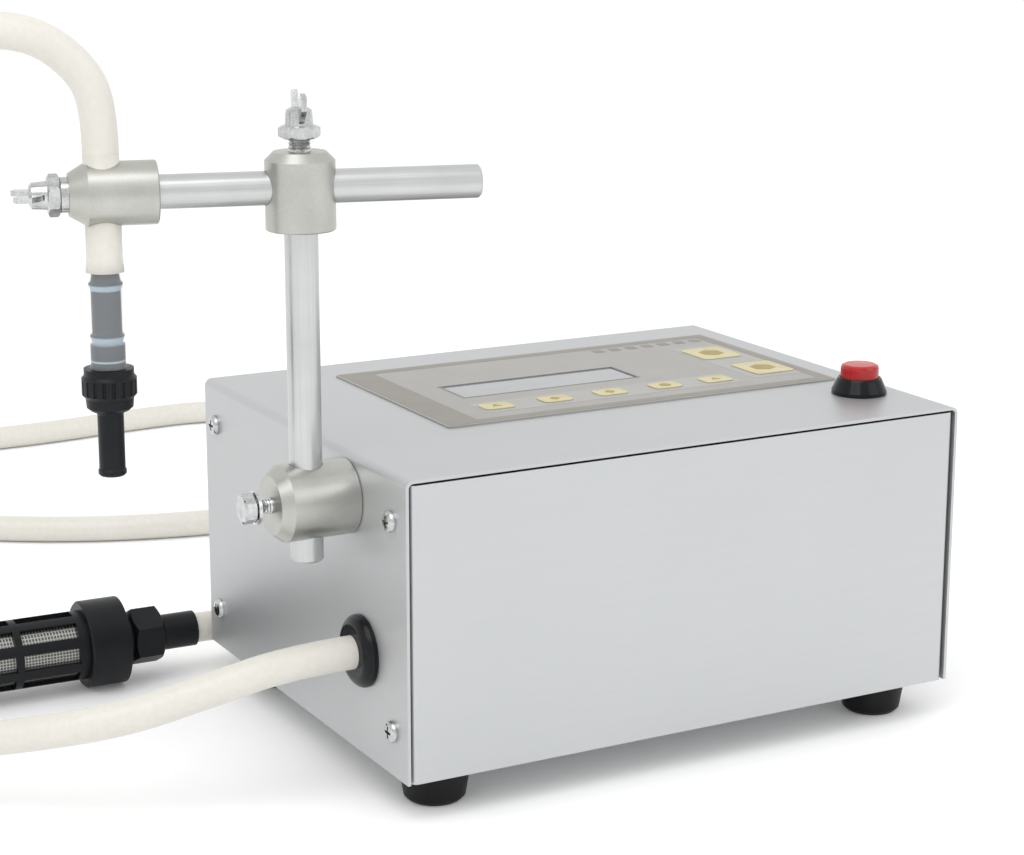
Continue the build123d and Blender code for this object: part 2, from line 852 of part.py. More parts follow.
finish(switch_housing.part, "switch_housing")

pivot = Plane(
    origin=(rocker_centre.X, rocker_centre.Y - rocker_pivot_depth, rocker_z),
    x_dir=(cos(radians(rocker_tilt)), sin(radians(rocker_tilt)), 0),
    z_dir=(0, 0, 1),
)
with BuildPart() as switch_rocker:
    with BuildSketch(pivot):
        with BuildLine():
            Polyline(
                (-rocker_half_length, -1.2),
                (-rocker_half_length, rocker_pivot_depth + 2.4),
                (0, rocker_pivot_depth + 1.0),
                (rocker_half_length, rocker_pivot_depth + 2.4),
                (rocker_half_length, -1.2),
                (0, -3.0),
                close=True,
            )
        make_face()
    extrude(amount=rocker_body / 2, both=True)
    with BuildSketch(pivot):
        Circle(rocker_pin_radius)
    extrude(amount=rocker_body / 2 + 1.0, both=True)
finish(switch_rocker.part, "switch_rocker")

jack_axis = Plane(origin=(case_x + jack_x, rear_y, jack_z), x_dir=(1, 0, 0), z_dir=(0, 1, 0))
with BuildPart() as pedal_socket:
    add(
        turned(
            jack_axis,
            [
                (jack_bore_radius, jack_nut_height + 1.0),
                (jack_radius, jack_nut_height + 1.0),
                (jack_radius, -sheet - rest_gap),
                (jack_radius + 2.4, -sheet - rest_gap),
                (jack_radius + 2.4, -jack_deep),
                (0, -jack_deep),
                (0, -jack_deep + 6.0),
                (jack_bore_radius, -jack_deep + 6.0),
            ],
        )
    )
    add(hex_piece(jack_axis, 2 * jack_nut_radius, rest_gap, jack_nut_height, jack_radius + thread_gap))
finish(pedal_socket.part, "pedal_socket")

# ---------------------------------------------------------------- piston pump inside the case
def pump_at(x):
    """The plane across the pump's axis at x: local X is +Y, local Y is +Z."""
    return Plane(origin=(x, pump_axis_y, pump_axis_z), x_dir=(0, 1, 0), z_dir=(1, 0, 0))


guide_rod_places = [(-guide_rod_spread, 0), (guide_rod_spread, 0)]
motor_screw_places = corner_points(motor_screw_spread / 2, motor_screw_spread / 2)
valve_x = head_x + valve_head_length / 2
head_bottom = pump_axis_z - valve_head_height / 2
throat_low = head_bottom + elbow_thread_length + ball_pocket_height
throat_high = head_bottom + valve_head_height - elbow_thread_length - ball_pocket_height
valve_axis = Plane(origin=(valve_x, pump_axis_y, 0), x_dir=(1, 0, 0), z_dir=(0, 0, 1))
rod_pocket = 0.6 * valve_head_length

with BuildPart() as valve_head:
    with BuildSketch(pump_at(head_x)):
        Rectangle(valve_head_width, valve_head_height)
    extrude(amount=valve_head_length)
    chamfer(valve_head.edges().filter_by(Axis.X), length=2.0)
    with BuildSketch(pump_at(cylinder_x)):
        with Locations(*guide_rod_places):
            Circle(guide_rod_radius + rest_gap)
    extrude(amount=-rod_pocket, mode=Mode.SUBTRACT)
    with BuildSketch(pump_at(cylinder_x)):
        Circle(port_radius)
    extrude(amount=-valve_head_length / 2, mode=Mode.SUBTRACT)
    for low, high, radius in (
        (head_bottom, head_bottom + elbow_thread_length, elbow_thread_radius + thread_gap),
        (head_bottom, throat_low, ball_pocket_radius),
        (throat_low, throat_high, port_radius),
        (throat_high, head_bottom + valve_head_height, ball_pocket_radius),
        (
            head_bottom + valve_head_height - elbow_thread_length,
            head_bottom + valve_head_height,
            elbow_thread_radius + thread_gap,
        ),
    ):
        with BuildSketch(valve_axis.offset(low)):
            Circle(radius)
        extrude(amount=high - low, mode=Mode.SUBTRACT)
finish(valve_head.part, "valve_head")

with BuildPart() as inlet_elbow:
    add(
        elbow(
            Plane(origin=(valve_x, pump_axis_y, head_bottom), x_dir=(0, 1, 0), z_dir=(0, 0, -1)),
            elbow_thread_length,
        )
    )
finish(inlet_elbow.part, "inlet_elbow")
with BuildPart() as outlet_elbow:
    add(
        elbow(
            Plane(
                origin=(valve_x, pump_axis_y, head_bottom + valve_head_height),
                x_dir=(1, 0, 0),
                z_dir=(0, 0, 1),
            ),
            elbow_thread_length,
        )
    )
finish(outlet_elbow.part, "outlet_elbow")

ball_rise = sqrt(ball_radius**2 - port_radius**2) + rest_gap
with BuildPart() as inlet_ball:
    with Locations((valve_x, pump_axis_y, head_bottom + elbow_thread_length + ball_rise)):
        Sphere(ball_radius)
finish(inlet_ball.part, "inlet_ball")
with BuildPart() as outlet_ball:
    with Locations((valve_x, pump_axis_y, throat_high + ball_rise)):
        Sphere(ball_radius)
finish(outlet_ball.part, "outlet_ball")

with BuildPart() as cylinder:
    with BuildSketch(pump_at(cylinder_x)):
        Circle(cylinder_bore_radius + cylinder_wall)
        Circle(cylinder_bore_radius, mode=Mode.SUBTRACT)
    extrude(amount=cylinder_length)
finish(cylinder.part, "cylinder")


def pump_plate(x, thickness, centre_hole):
    """An upright plate standing on the case floor, with its guide rod and floor screw holes."""
    height = pump_axis_z + valve_head_height / 2 - floor_z
    with BuildPart(mode=Mode.PRIVATE) as plate:
        with BuildSketch(pump_at(x)):
            with Locations((0, valve_head_height / 2 - height / 2)):
                Rectangle(valve_head_width, height)
            Circle(centre_hole, mode=Mode.SUBTRACT)
            with Locations(*guide_rod_places):
                Circle(guide_rod_radius + rest_gap, mode=Mode.SUBTRACT)
        extrude(amount=thickness)
        with BuildSketch(Plane.XY.offset(floor_z)):
            with Locations(*[(x + thickness / 2, pump_axis_y + side * valve_head_width / 3) for side in (-1, 1)]):
                Circle(screw_m3_radius + thread_gap)
        extrude(amount=screw_m3_length, mode=Mode.SUBTRACT)
    return plate.part


with BuildPart() as cylinder_plate:
    add(pump_plate(cylinder_plate_x, plate_thickness, piston_rod_radius + run_gap))
finish(cylinder_plate.part, "cylinder_plate")

with BuildPart() as motor_plate:
    add(pump_plate(motor_plate_x, motor_plate_thickness, motor_pilot_radius + rest_gap))
    with BuildSketch(pump_at(motor_plate_x)):
        with Locations(*motor_screw_places):
            Circle(screw_m3_radius + hole_gap)
    extrude(amount=motor_plate_thickness, mode=Mode.SUBTRACT)
finish(motor_plate.part, "motor_plate")

with BuildPart() as pump_motor:
    with BuildSketch(pump_at(motor_x)) as motor_section:
        Rectangle(motor_size, motor_size)
        chamfer(motor_section.vertices(), length=4.0)
    extrude(amount=motor_length)
    with BuildSketch(pump_at(motor_x)):
        Circle(motor_pilot_radius)
    extrude(amount=-motor_pilot_height)
    with BuildSketch(pump_at(motor_x - motor_pilot_height)):
        Circle(lead_screw_radius + run_gap)
    extrude(amount=motor_length + motor_pilot_height, mode=Mode.SUBTRACT)
    with BuildSketch(pump_at(motor_x)):
        with Locations(*motor_screw_places):
            Circle(screw_m3_radius + thread_gap)
    extrude(amount=screw_m3_length, mode=Mode.SUBTRACT)
finish(pump_motor.part, "pump_motor")

m3_screws = []
for x, y in plate_screw_places:
    seat = Plane(origin=(x, y, case_bottom), x_dir=(1, 0, 0), z_dir=(0, 0, -1))
    m3_screws.append(
        pan_screw(seat, screw_m3_radius, screw_m3_head_radius, screw_m3_head_height, screw_m3_length)
    )
for y, z in motor_screw_places:
    seat = Plane(
        origin=(motor_plate_x, pump_axis_y + y, pump_axis_z + z), x_dir=(0, 1, 0), z_dir=(-1, 0, 0)
    )
    m3_screws.append(
        pan_screw(seat, screw_m3_radius, screw_m3_head_radius, screw_m3_head_height, screw_m3_length)
    )
with BuildPart() as plate_screws:
    add(m3_screws)
finish(plate_screws.part, "plate_screws")

with BuildPart() as guide_rods:
    with BuildSketch(pump_at(cylinder_x - rod_pocket + rest_gap)):
        with Locations(*guide_rod_places):
            Circle(guide_rod_radius)
    extrude(amount=motor_x - cylinder_x + rod_pocket - 2 * rest_gap)
finish(guide_rods.part, "guide_rods")

screw_start = carriage_x - 4.0
with BuildPart() as lead_screw:
    add(
        turned(
            pump_at(screw_start),
            [(0, 0)]
            + threaded(lead_screw_radius, 0, motor_x - screw_start - motor_pilot_height, 2.0, 0.5)
            + [
                (lead_screw_radius, motor_x + motor_length - screw_start - 2.0),
                (0, motor_x + motor_length - screw_start - 2.0),
            ],
        )
    )
finish(lead_screw.part, "lead_screw")

rod_socket = 6.0
with BuildPart() as carriage:
    with BuildSketch(pump_at(carriage_x)):
        Rectangle(valve_head_width, carriage_height)
        with Locations(*guide_rod_places):
            Circle(guide_rod_radius + run_gap, mode=Mode.SUBTRACT)
        Circle(lead_screw_radius + run_gap, mode=Mode.SUBTRACT)
    extrude(amount=carriage_length)
    with BuildSketch(pump_at(carriage_x)):
        Circle(piston_rod_radius + rest_gap)
    extrude(amount=rod_socket, mode=Mode.SUBTRACT)
finish(carriage.part, "carriage")

rod_root = piston_x + piston_length
rod_spigot_radius = 3.0
with BuildPart() as piston_rod:
    with BuildSketch(pump_at(rod_root)):
        Circle(piston_rod_radius)
    extrude(amount=carriage_x + rod_socket - rod_root)
    with BuildSketch(pump_at(rod_root)):
        Circle(rod_spigot_radius)
    extrude(amount=-0.6 * piston_length)
    with BuildSketch(pump_at(carriage_x + rod_socket)):
        Circle(piston_rod_bore_radius)
    extrude(amount=-(rod_socket + 4.0 + stroke + 1.5), mode=Mode.SUBTRACT)
finish(piston_rod.part, "piston_rod")

groove_low = piston_length / 2 - seal_section / 2 - rest_gap
groove_high = piston_length / 2 + seal_section / 2 + rest_gap
groove_radius = cylinder_bore_radius - seal_gap - seal_section - rest_gap
piston_radius = cylinder_bore_radius - piston_clearance
with BuildPart() as piston:
    add(
        turned(
            pump_at(piston_x),
            [
                (0, 0),
                (piston_radius - 0.6, 0),
                (piston_radius, 0.6),
                (piston_radius, groove_low),
                (groove_radius, groove_low),
                (groove_radius, groove_high),
                (piston_radius, groove_high),
                (piston_radius, piston_length),
                (rod_spigot_radius + rest_gap, piston_length),
                (rod_spigot_radius + rest_gap, 0.4 * piston_length - rest_gap),
                (0, 0.4 * piston_length - rest_gap),
            ],
        )
    )
finish(piston.part, "piston")
with BuildPart() as piston_seal:
    add(
        turned(
            pump_at(piston_x),
            ring(
                groove_radius + rest_gap,
                cylinder_bore_radius - seal_gap,
                piston_length / 2 - seal_section / 2,
                piston_length / 2 + seal_section / 2,
            ),
        )
    )
finish(piston_seal.part, "piston_seal")

# ---------------------------------------------------------------- clamp stand
base_axis = Plane(origin=(left_x, mast_y, clamp_height), x_dir=(0, 0, 1), z_dir=(-1, 0, 0))
mast_axis = Plane(origin=(mast_x, mast_y, 0), x_dir=(1, 0, 0), z_dir=(0, 0, 1))
with BuildPart() as base_block:
    add(
        turned(
            base_axis,
            [
                (0, 0),
                (base_block_radius - 0.4, 0),
                (base_block_radius, 0.4),
                (base_block_radius, base_block_length - 1.25 * base_block_chamfer),
                (base_block_radius - base_block_chamfer, base_block_length),
                (0, base_block_length),
            ],
        )
    )
    with BuildSketch(mast_axis.offset(clamp_height - base_block_radius)):
        Circle(rod_radius + rod_gap)
    extrude(amount=2 * base_block_radius, mode=Mode.SUBTRACT)
    with BuildSketch(base_axis.offset(base_block_length)):
        Circle(base_bolt_radius + thread_gap)
    extrude(amount=-(base_block_length - mast_out), mode=Mode.SUBTRACT)
    with BuildSketch(base_axis):
        Circle(fixing_screw_radius + thread_gap)
    extrude(amount=fixing_depth, mode=Mode.SUBTRACT)
finish(base_block.part, "base_block")

fixing_seat = Plane(origin=(left_x + sheet, mast_y, clamp_height), x_dir=(0, 0, 1), z_dir=(1, 0, 0))
with BuildPart() as block_fixing_screw:
    add(
        turned(
            fixing_seat,
            [
                (0, -sheet - fixing_depth + 0.6),
                (fixing_screw_radius - 0.6, -sheet - fixing_depth + 0.6),
                (fixing_screw_radius, -sheet - fixing_depth + 1.2),
                (fixing_screw_radius, 0),
                (fixing_head_radius, 0),
                (fixing_head_radius, fixing_head_height - 0.5),
                (fixing_head_radius - 0.5, fixing_head_height),
                (0, fixing_head_height),
            ],
        )
    )
    with BuildSketch(fixing_seat.offset(fixing_head_height)):
        RegularPolygon(3.0, 6, major_radius=False)
    extrude(amount=-4.0, mode=Mode.SUBTRACT)
finish(block_fixing_screw.part, "block_fixing_screw")

bolt_axis = base_axis.offset(base_block_length)
bolt_tip = base_block_length - mast_out - rod_radius - clamp_touch
head_seat = base_bolt_shown + base_washer_height
with BuildPart() as base_bolt:
    add(
        turned(
            bolt_axis,
            [
                (0, -bolt_tip),
                (base_bolt_radius - 0.5, -bolt_tip),
                (base_bolt_radius, -bolt_tip + 0.5),
                *threaded(base_bolt_radius, 0.3, head_seat, 1.0, 0.35),
                (0, head_seat),
            ],
        )
    )
    add(hex_piece(bolt_axis, base_bolt_flats, head_seat, head_seat + base_bolt_head, 0))
finish(base_bolt.part, "base_bolt")
with BuildPart() as base_bolt_washer:
    add(
        turned(
            bolt_axis,
            ring(base_bolt_radius + thread_gap, base_washer_radius, base_bolt_shown, head_seat),
        )
    )
finish(base_bolt_washer.part, "base_bolt_washer")

with BuildPart() as mast:
    add(
        turned(
            mast_axis,
            [
                (0, mast_bottom),
                (rod_radius - rod_edge, mast_bottom),
                (rod_radius, mast_bottom + rod_edge),
                (rod_radius, arm_height - rod_radius - 0.3 - rod_edge),
                (rod_radius - rod_edge, arm_height - rod_radius - 0.3),
                (0, arm_height - rod_radius - 0.3),
            ],
        )
    )
finish(mast.part, "mast")

cross_centre = Vector(mast_x, mast_y, arm_height)
cross_axis = Plane(origin=cross_centre, x_dir=arm_dir, z_dir=(0, 0, 1))
arm_axis = Plane(origin=cross_centre, x_dir=(0, 0, 1), z_dir=arm_dir)
with BuildPart() as cross_block:
    add(
        turned(
            cross_axis,
            [
                (0, -cross_block_below),
                (cross_block_radius - 0.4, -cross_block_below),
                (cross_block_radius, -cross_block_below + 0.4),
                (cross_block_radius, cross_block_above - cross_block_chamfer),
                (cross_block_radius - cross_block_chamfer, cross_block_above),
                (0, cross_block_above),
            ],
        )
    )
    with BuildSketch(cross_axis.offset(-cross_block_below)):
        Circle(rod_radius + rod_gap)
    extrude(amount=cross_block_below, mode=Mode.SUBTRACT)
    with BuildSketch(arm_axis.offset(-cross_block_radius)):
        Circle(rod_radius + rod_gap)
    extrude(amount=2 * cross_block_radius, mode=Mode.SUBTRACT)
    with BuildSketch(cross_axis):
        Circle(wing_thread_radius + thread_gap)
    extrude(amount=cross_block_above, mode=Mode.SUBTRACT)
finish(cross_block.part, "cross_block")

cross_top = cross_axis.offset(cross_block_above)
cross_hub = cross_thread_shown + lock_nut_height
with BuildPart() as cross_wing_screw:
    add(wing_screw(cross_top, cross_block_above - rod_radius - clamp_touch, cross_hub))
finish(cross_wing_screw.part, "cross_wing_screw")
with BuildPart() as cross_lock_nut:
    add(hex_piece(cross_top, lock_nut_flats, cross_thread_shown, cross_hub, wing_thread_radius + thread_gap))
finish(cross_lock_nut.part, "cross_lock_nut")

arm_end = nozzle_block_start + arm_socket_depth - clamp_touch
with BuildPart() as arm:
    add(
        turned(
            arm_axis,
            [
                (0, -arm_tail),
                (rod_radius - rod_edge, -arm_tail),
                (rod_radius, -arm_tail + rod_edge),
                (rod_radius, arm_end - rod_edge),
                (rod_radius - rod_edge, arm_end),
                (0, arm_end),
            ],
        )
    )
finish(arm.part, "arm")

nozzle_axis_point = cross_centre + arm_dir * hose_hole_out
nozzle_axis = Plane(
    origin=(nozzle_axis_point.X, nozzle_axis_point.Y, 0), x_dir=(1, 0, 0), z_dir=(0, 0, 1)
)
block_axis = arm_axis.offset(nozzle_block_start)
block_end = arm_axis.offset(nozzle_block_start + nozzle_block_length)
hose_hole_in = nozzle_block_start + nozzle_block_length - hose_hole_out
with BuildPart() as nozzle_block:
    add(
        turned(
            block_axis,
            [
                (0, 0),
                (nozzle_block_radius - 0.4, 0),
                (nozzle_block_radius, 0.4),
                (nozzle_block_radius, nozzle_block_length - nozzle_block_taper),
                (nozzle_block_end_radius, nozzle_block_length),
                (0, nozzle_block_length),
            ],
        )
    )
    with BuildSketch(block_axis):
        Circle(rod_radius + rod_gap)
    extrude(amount=arm_socket_depth, mode=Mode.SUBTRACT)
    with BuildSketch(nozzle_axis.offset(arm_height - nozzle_block_radius)):
        Circle(hose_radius + hose_gap)
    extrude(amount=2 * nozzle_block_radius, mode=Mode.SUBTRACT)
    with BuildSketch(block_end):
        Circle(wing_thread_radius + thread_gap)
    extrude(amount=-hose_hole_in, mode=Mode.SUBTRACT)
finish(nozzle_block.part, "nozzle_block")

nozzle_hub = nozzle_washer_height + lock_nut_height
with BuildPart() as nozzle_wing_screw:
    add(wing_screw(block_end, hose_hole_in - hose_radius - clamp_touch, nozzle_hub))
finish(nozzle_wing_screw.part, "nozzle_wing_screw")
with BuildPart() as nozzle_lock_nut:
    add(
        hex_piece(
            block_end, lock_nut_flats, nozzle_washer_height, nozzle_hub, wing_thread_radius + thread_gap
        )
    )
    add(
        turned(
            block_end,
            ring(wing_thread_radius + thread_gap, nozzle_washer_radius, rest_gap, nozzle_washer_height),
        )
    )
finish(nozzle_lock_nut.part, "nozzle_lock_nut")

# ---------------------------------------------------------------- nozzle
barb_waist = barb_radius - 0.5
upper_ring = barb_top - 3.5
lower_ring = barb_top - 21.7
with BuildPart() as nozzle_barb:
    add(
        turned(
            nozzle_axis,
            [
                (barb_bore_radius, nozzle_nut_bottom + 1.0),
                (barb_ring_radius, nozzle_nut_bottom + 1.0),
                (barb_ring_radius, lower_ring - 3.1),
                (barb_waist, lower_ring - 2.6),
                (barb_ring_radius, lower_ring),
                (barb_waist, lower_ring + 0.8),
                (barb_waist, upper_ring - 2.5),
                (barb_ring_radius, upper_ring),
                (barb_waist, upper_ring + 0.8),
                (barb_radius - 1.0, barb_top),
                (barb_bore_radius, barb_top),
            ],
        )
    )
finish(nozzle_barb.part, "nozzle_barb")

barb_sleeve = barb_ring_radius + rest_gap
with BuildPart() as nozzle_hose:
    add(
        turned(
            nozzle_axis,
            [
                (hose_bore_radius, nozzle_hose_top),
                (hose_radius, nozzle_hose_top),
                (hose_radius, barb_top + 6.0),
                (barb_sleeve + stretched_wall, barb_top - 2.0),
                (nozzle_hose_bulge, lower_ring + 2.0),
                (nozzle_hose_bulge, nozzle_hose_bottom),
                (barb_sleeve, nozzle_hose_bottom),
                (barb_sleeve, barb_top + rest_gap),
                (hose_bore_radius, barb_top + 2.0),
            ],
        )
    )
finish(nozzle_hose.part, "nozzle_hose")

rib_count = 18
nut_shoulder = nozzle_hose_bottom - 3.0
with BuildPart() as nozzle_nut:
    add(
        turned(
            nozzle_axis,
            [
                (barb_ring_radius + rest_gap, nozzle_hose_bottom - rest_gap),
                (nozzle_nut_rim_radius, nozzle_hose_bottom - rest_gap),
                (nozzle_nut_rim_radius, nut_shoulder + 0.6),
                (nozzle_nut_radius, nut_shoulder - 0.4),
                (nozzle_nut_radius, nut_shoulder - 6.2),
                (nozzle_nut_rim_radius - 0.3, nut_shoulder - 7.6),
                (nozzle_nut_rim_radius - 0.6, nozzle_nut_bottom + 1.2),
                (nozzle_nut_rim_radius - 2.0, nozzle_nut_bottom),
                (nozzle_tip_radius + 0.4 + rest_gap, nozzle_nut_bottom),
                (nozzle_tip_radius + 0.4 + rest_gap, nozzle_nut_bottom + 1.0),
                (barb_ring_radius + rest_gap, nozzle_nut_bottom + 1.0),
            ],
        )
    )
    with BuildSketch(nozzle_axis.offset(nut_shoulder - 6.2)):
        with PolarLocations(nozzle_nut_radius, rib_count):
            Circle(0.55)
    extrude(amount=5.4, mode=Mode.SUBTRACT)
finish(nozzle_nut.part, "nozzle_nut")

with BuildPart() as nozzle_tip:
    add(
        turned(
            nozzle_axis,
            [
                (nozzle_tip_bore, nozzle_nut_bottom + 1.0),
                (nozzle_tip_radius + 0.4, nozzle_nut_bottom + 1.0),
                (nozzle_tip_radius + 0.4, nozzle_nut_bottom - 0.6),
                (nozzle_tip_radius, nozzle_nut_bottom - 1.4),
                (nozzle_tip_radius, nozzle_tip_bottom + 2.6),
                (nozzle_tip_radius + 0.35, nozzle_tip_bottom + 2.0),
                (nozzle_tip_radius + 0.35, nozzle_tip_bottom + 0.7),
                (nozzle_tip_radius - 0.3, nozzle_tip_bottom),
                (nozzle_tip_bore, nozzle_tip_bottom),
            ],
        )
    )
finish(nozzle_tip.part, "nozzle_tip")

# ---------------------------------------------------------------- strainer on the suction hose
strainer_lean = radians(strainer_turn)
strainer_dir = Vector(-cos(strainer_lean), sin(strainer_lean), 0)
strainer_start = Vector(case_x + strainer_x, case_y + strainer_y, strainer_axis_height)


def strainer_at(along):
    """The plane across the strainer's axis at a distance from the hose end of its sleeve."""
    return Plane(origin=strainer_start + strainer_dir * along, x_dir=(0, 0, 1), z_dir=strainer_dir)


hex_start = strainer_sleeve_length
neck_start = hex_start + strainer_hex_length
collar_start = neck_start + strainer_neck_length
cage_start = collar_start + strainer_collar_length
cage_end = cage_start + strainer_cage_length
collar_radius = strainer_height / 2
with BuildPart() as strainer_head:
    with BuildSketch(strainer_at(0)):
        Circle(strainer_sleeve_radius)
    extrude(amount=hex_start)
    add(hex_piece(strainer_at(hex_start), strainer_hex_flats, 0, strainer_hex_length, 0))
    with BuildSketch(strainer_at(neck_start)):
        Circle(0.8 * strainer_hex_flats / 2)
    extrude(amount=strainer_neck_length)
    with BuildSketch(strainer_at(collar_start)):
        Circle(collar_radius)
    extrude(amount=strainer_collar_length)
    chamfer(strainer_head.faces().sort_by(Axis.X)[0].edges(), length=0.8)
    with BuildSketch(strainer_at(cage_start)):
        Circle(strainer_cage_radius + rest_gap)
    extrude(amount=-5.0, mode=Mode.SUBTRACT)
    with BuildSketch(strainer_at(cage_start - 5.0)):
        Circle(port_radius * 1.6)
    extrude(amount=-(cage_start - 5.0 - 1.0 - 8.0), mode=Mode.SUBTRACT)
    with BuildSketch(strainer_at(0)):
        Circle(hose_radius + rest_gap)
    extrude(amount=8.0 + 1.0, mode=Mode.SUBTRACT)
finish(strainer_head.part, "strainer_head")

cage_sector = 360 / strainer_bar_count
with BuildPart() as strainer_cage:
    with BuildSketch(strainer_at(cage_start - 5.0)):
        Circle(strainer_cage_radius)
        Circle(strainer_cage_radius - strainer_cage_wall, mode=Mode.SUBTRACT)
    extrude(amount=strainer_cage_length + 5.0)
    with BuildSketch(strainer_at(cage_start + 4.0)) as cage_slots:
        with PolarLocations(strainer_cage_radius, strainer_bar_count):
            slot_width = 2 * strainer_cage_radius * sin(radians(cage_sector / 2)) - strainer_bar_width
            Rectangle(4 * strainer_cage_wall, slot_width)
    extrude(amount=strainer_cage_length - 8.0, mode=Mode.SUBTRACT)
    with BuildSketch(strainer_at(cage_start + strainer_cage_length / 2 - 1.5)):
        Circle(strainer_cage_radius)
        Circle(strainer_cage_radius - strainer_cage_wall, mode=Mode.SUBTRACT)
    extrude(amount=3.0)
    with BuildSketch(strainer_at(cage_end)):
        Circle(collar_radius)
    extrude(amount=strainer_cap_length)
    chamfer(strainer_cage.faces().sort_by(Axis.X)[0].edges(), length=1.0)
finish(strainer_cage.part, "strainer_cage")

with BuildPart() as strainer_mesh:
    mesh_outer = strainer_cage_radius - strainer_cage_wall - rest_gap
    with BuildSketch(strainer_at(cage_start - 5.0 + rest_gap)):
        Circle(mesh_outer)
        Circle(mesh_outer - strainer_mesh_wall, mode=Mode.SUBTRACT)
    extrude(amount=strainer_cage_length + 5.0 - 2 * rest_gap)
finish(strainer_mesh.part, "strainer_mesh")


# ---------------------------------------------------------------- hoses
def beside_case(places):
    """Route points given from the middle of the case, moved to the shared frame."""
    return [(case_x + x, case_y + y, z) for x, y, z in places]


exit_x = -case_width / 2 - grommet_lip_height
exit_y = side_grommet_from_front - case_depth / 2
tip_x = nozzle_axis_point.X - case_x
tip_y = nozzle_axis_point.Y - case_y
valve_out_x = valve_head_x + valve_head_length / 2 + elbow_body / 2
barb_height = elbow_body / 2
outlet_barb_z = head_bottom + valve_head_height + barb_height
inlet_barb_z = head_bottom - barb_height

make_hose(
    beside_case(
        [
            (valve_out_x, pump_y, outlet_barb_z),
            (valve_out_x + 28, pump_y, outlet_barb_z),
            (valve_out_x + 42, (pump_y + exit_y) / 2, (outlet_barb_z + side_grommet_height) / 2 + 3),
            (valve_out_x + 28, exit_y, side_grommet_height),
            (exit_x, exit_y, side_grommet_height),
        ]
    ),
    "pump_outlet_hose",
    hose_bore_radius,
)
make_hose(
    beside_case(
        [
            (valve_head_x + valve_head_length / 2, pump_y + elbow_body / 2, inlet_barb_z),
            (valve_head_x + valve_head_length / 2, pump_y + 50, inlet_barb_z),
            (-50, pump_y + 46, inlet_barb_z),
            (25, pump_y + 34, inlet_barb_z + 5),
            (rear_grommet_x, pump_y + 33, rear_grommet_height),
            (rear_grommet_x, case_depth / 2 + grommet_lip_height, rear_grommet_height),
        ]
    ),
    "pump_inlet_hose",
    hose_bore_radius,
)
sag_point = (-248, -8.5, 27.5)
make_hose(
    beside_case(
        [
            (exit_x, exit_y, side_grommet_height),
            (-150, exit_y, side_grommet_height),
            (-176, -51, 48),
            (-202, -41, 39),
            (-226, -27, 33),
            sag_point,
        ]
    ),
    "outlet_hose",
)
make_hose(
    beside_case(
        [
            sag_point,
            (-270, 10, 22),
            (-296, 22, 17),
            (-322, 26, 28),
            (-342, 24, 58),
            (-350, 18, 98),
            (-350, 11, 140),
            (-345, 3, 182),
            (-332, -5, 222),
            (-308, -12, 256),
            (-275, -17.5, 277),
            (-245, -21, 281),
            (-223, -25, 279),
            (tip_x - 5.5, tip_y + 0.7, 267),
            (tip_x, tip_y, 254),
            (tip_x, tip_y, nozzle_hose_top),
        ]
    ),
    "outlet_hose_loop",
)
on_table = hose_radius
make_hose(
    beside_case(
        [
            (rear_grommet_x, case_depth / 2 + grommet_lip_height, rear_grommet_height),
            (rear_grommet_x, 128, rear_grommet_height),
            (rear_grommet_x + 4, 172, 26),
            (rear_grommet_x + 10, 215, on_table),
            (80, 262, on_table),
            (92, 320, on_table),
            (104, 385, on_table),
            (108, 445, on_table),
            (88, 498, on_table),
            (45, 521, on_table),
            (-5, 519, on_table),
            (-54, 512, on_table),
            (-104, 513, on_table),
            (-157, 504, on_table),
            (-194, 466, on_table),
            (-203, 416, on_table),
            (-182, 366, on_table),
            (-143, 330, on_table),
            (-94, 303, on_table),
            (-42, 289, on_table),
            (8, 284, on_table),
            (44, 258, on_table),
            (52, 214, on_table),
            (36, 168, on_table),
            (-4, 140, on_table),
            (-50, 129, on_table),
            (-86, 117.5, on_table + 4),
            (strainer_x + 12 * cos(strainer_lean), strainer_y - 12 * sin(strainer_lean), strainer_axis_height),
            (
                strainer_x - 8.0 * cos(strainer_lean),
                strainer_y + 8.0 * sin(strainer_lean),
                strainer_axis_height,
            ),
        ]
    ),
    "suction_hose",
)
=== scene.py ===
"""Looks of a bench-top piston liquid filler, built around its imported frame.

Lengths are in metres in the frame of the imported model, and values named _mm are in millimetres. The
camera comes first, then the hoses, the sleeve over the nozzle's barb, the fill button's spring, the
keypad's print and keys, a finish for every remaining node, and last the light and the table.
"""
import logging
import math
from dataclasses import dataclass, field
from enum import Enum

import bmesh
import bpy
from mathutils import Matrix, Vector


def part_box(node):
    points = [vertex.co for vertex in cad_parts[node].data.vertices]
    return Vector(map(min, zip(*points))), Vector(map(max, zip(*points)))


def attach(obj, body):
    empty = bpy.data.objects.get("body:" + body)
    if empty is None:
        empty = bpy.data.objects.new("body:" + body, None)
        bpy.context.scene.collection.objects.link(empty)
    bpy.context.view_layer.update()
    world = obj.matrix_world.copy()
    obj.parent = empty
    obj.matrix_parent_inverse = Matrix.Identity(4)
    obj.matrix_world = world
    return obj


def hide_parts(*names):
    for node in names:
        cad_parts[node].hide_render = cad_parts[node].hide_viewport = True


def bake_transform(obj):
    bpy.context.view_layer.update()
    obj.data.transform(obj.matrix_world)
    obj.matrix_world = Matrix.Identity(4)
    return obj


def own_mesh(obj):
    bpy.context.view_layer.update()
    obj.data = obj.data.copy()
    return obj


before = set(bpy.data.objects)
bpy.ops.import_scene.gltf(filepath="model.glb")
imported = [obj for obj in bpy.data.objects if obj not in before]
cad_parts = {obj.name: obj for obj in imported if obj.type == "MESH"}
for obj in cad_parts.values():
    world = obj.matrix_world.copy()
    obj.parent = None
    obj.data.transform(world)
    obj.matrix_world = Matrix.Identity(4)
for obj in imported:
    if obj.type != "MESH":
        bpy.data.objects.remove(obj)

log = logging.getLogger("filler")

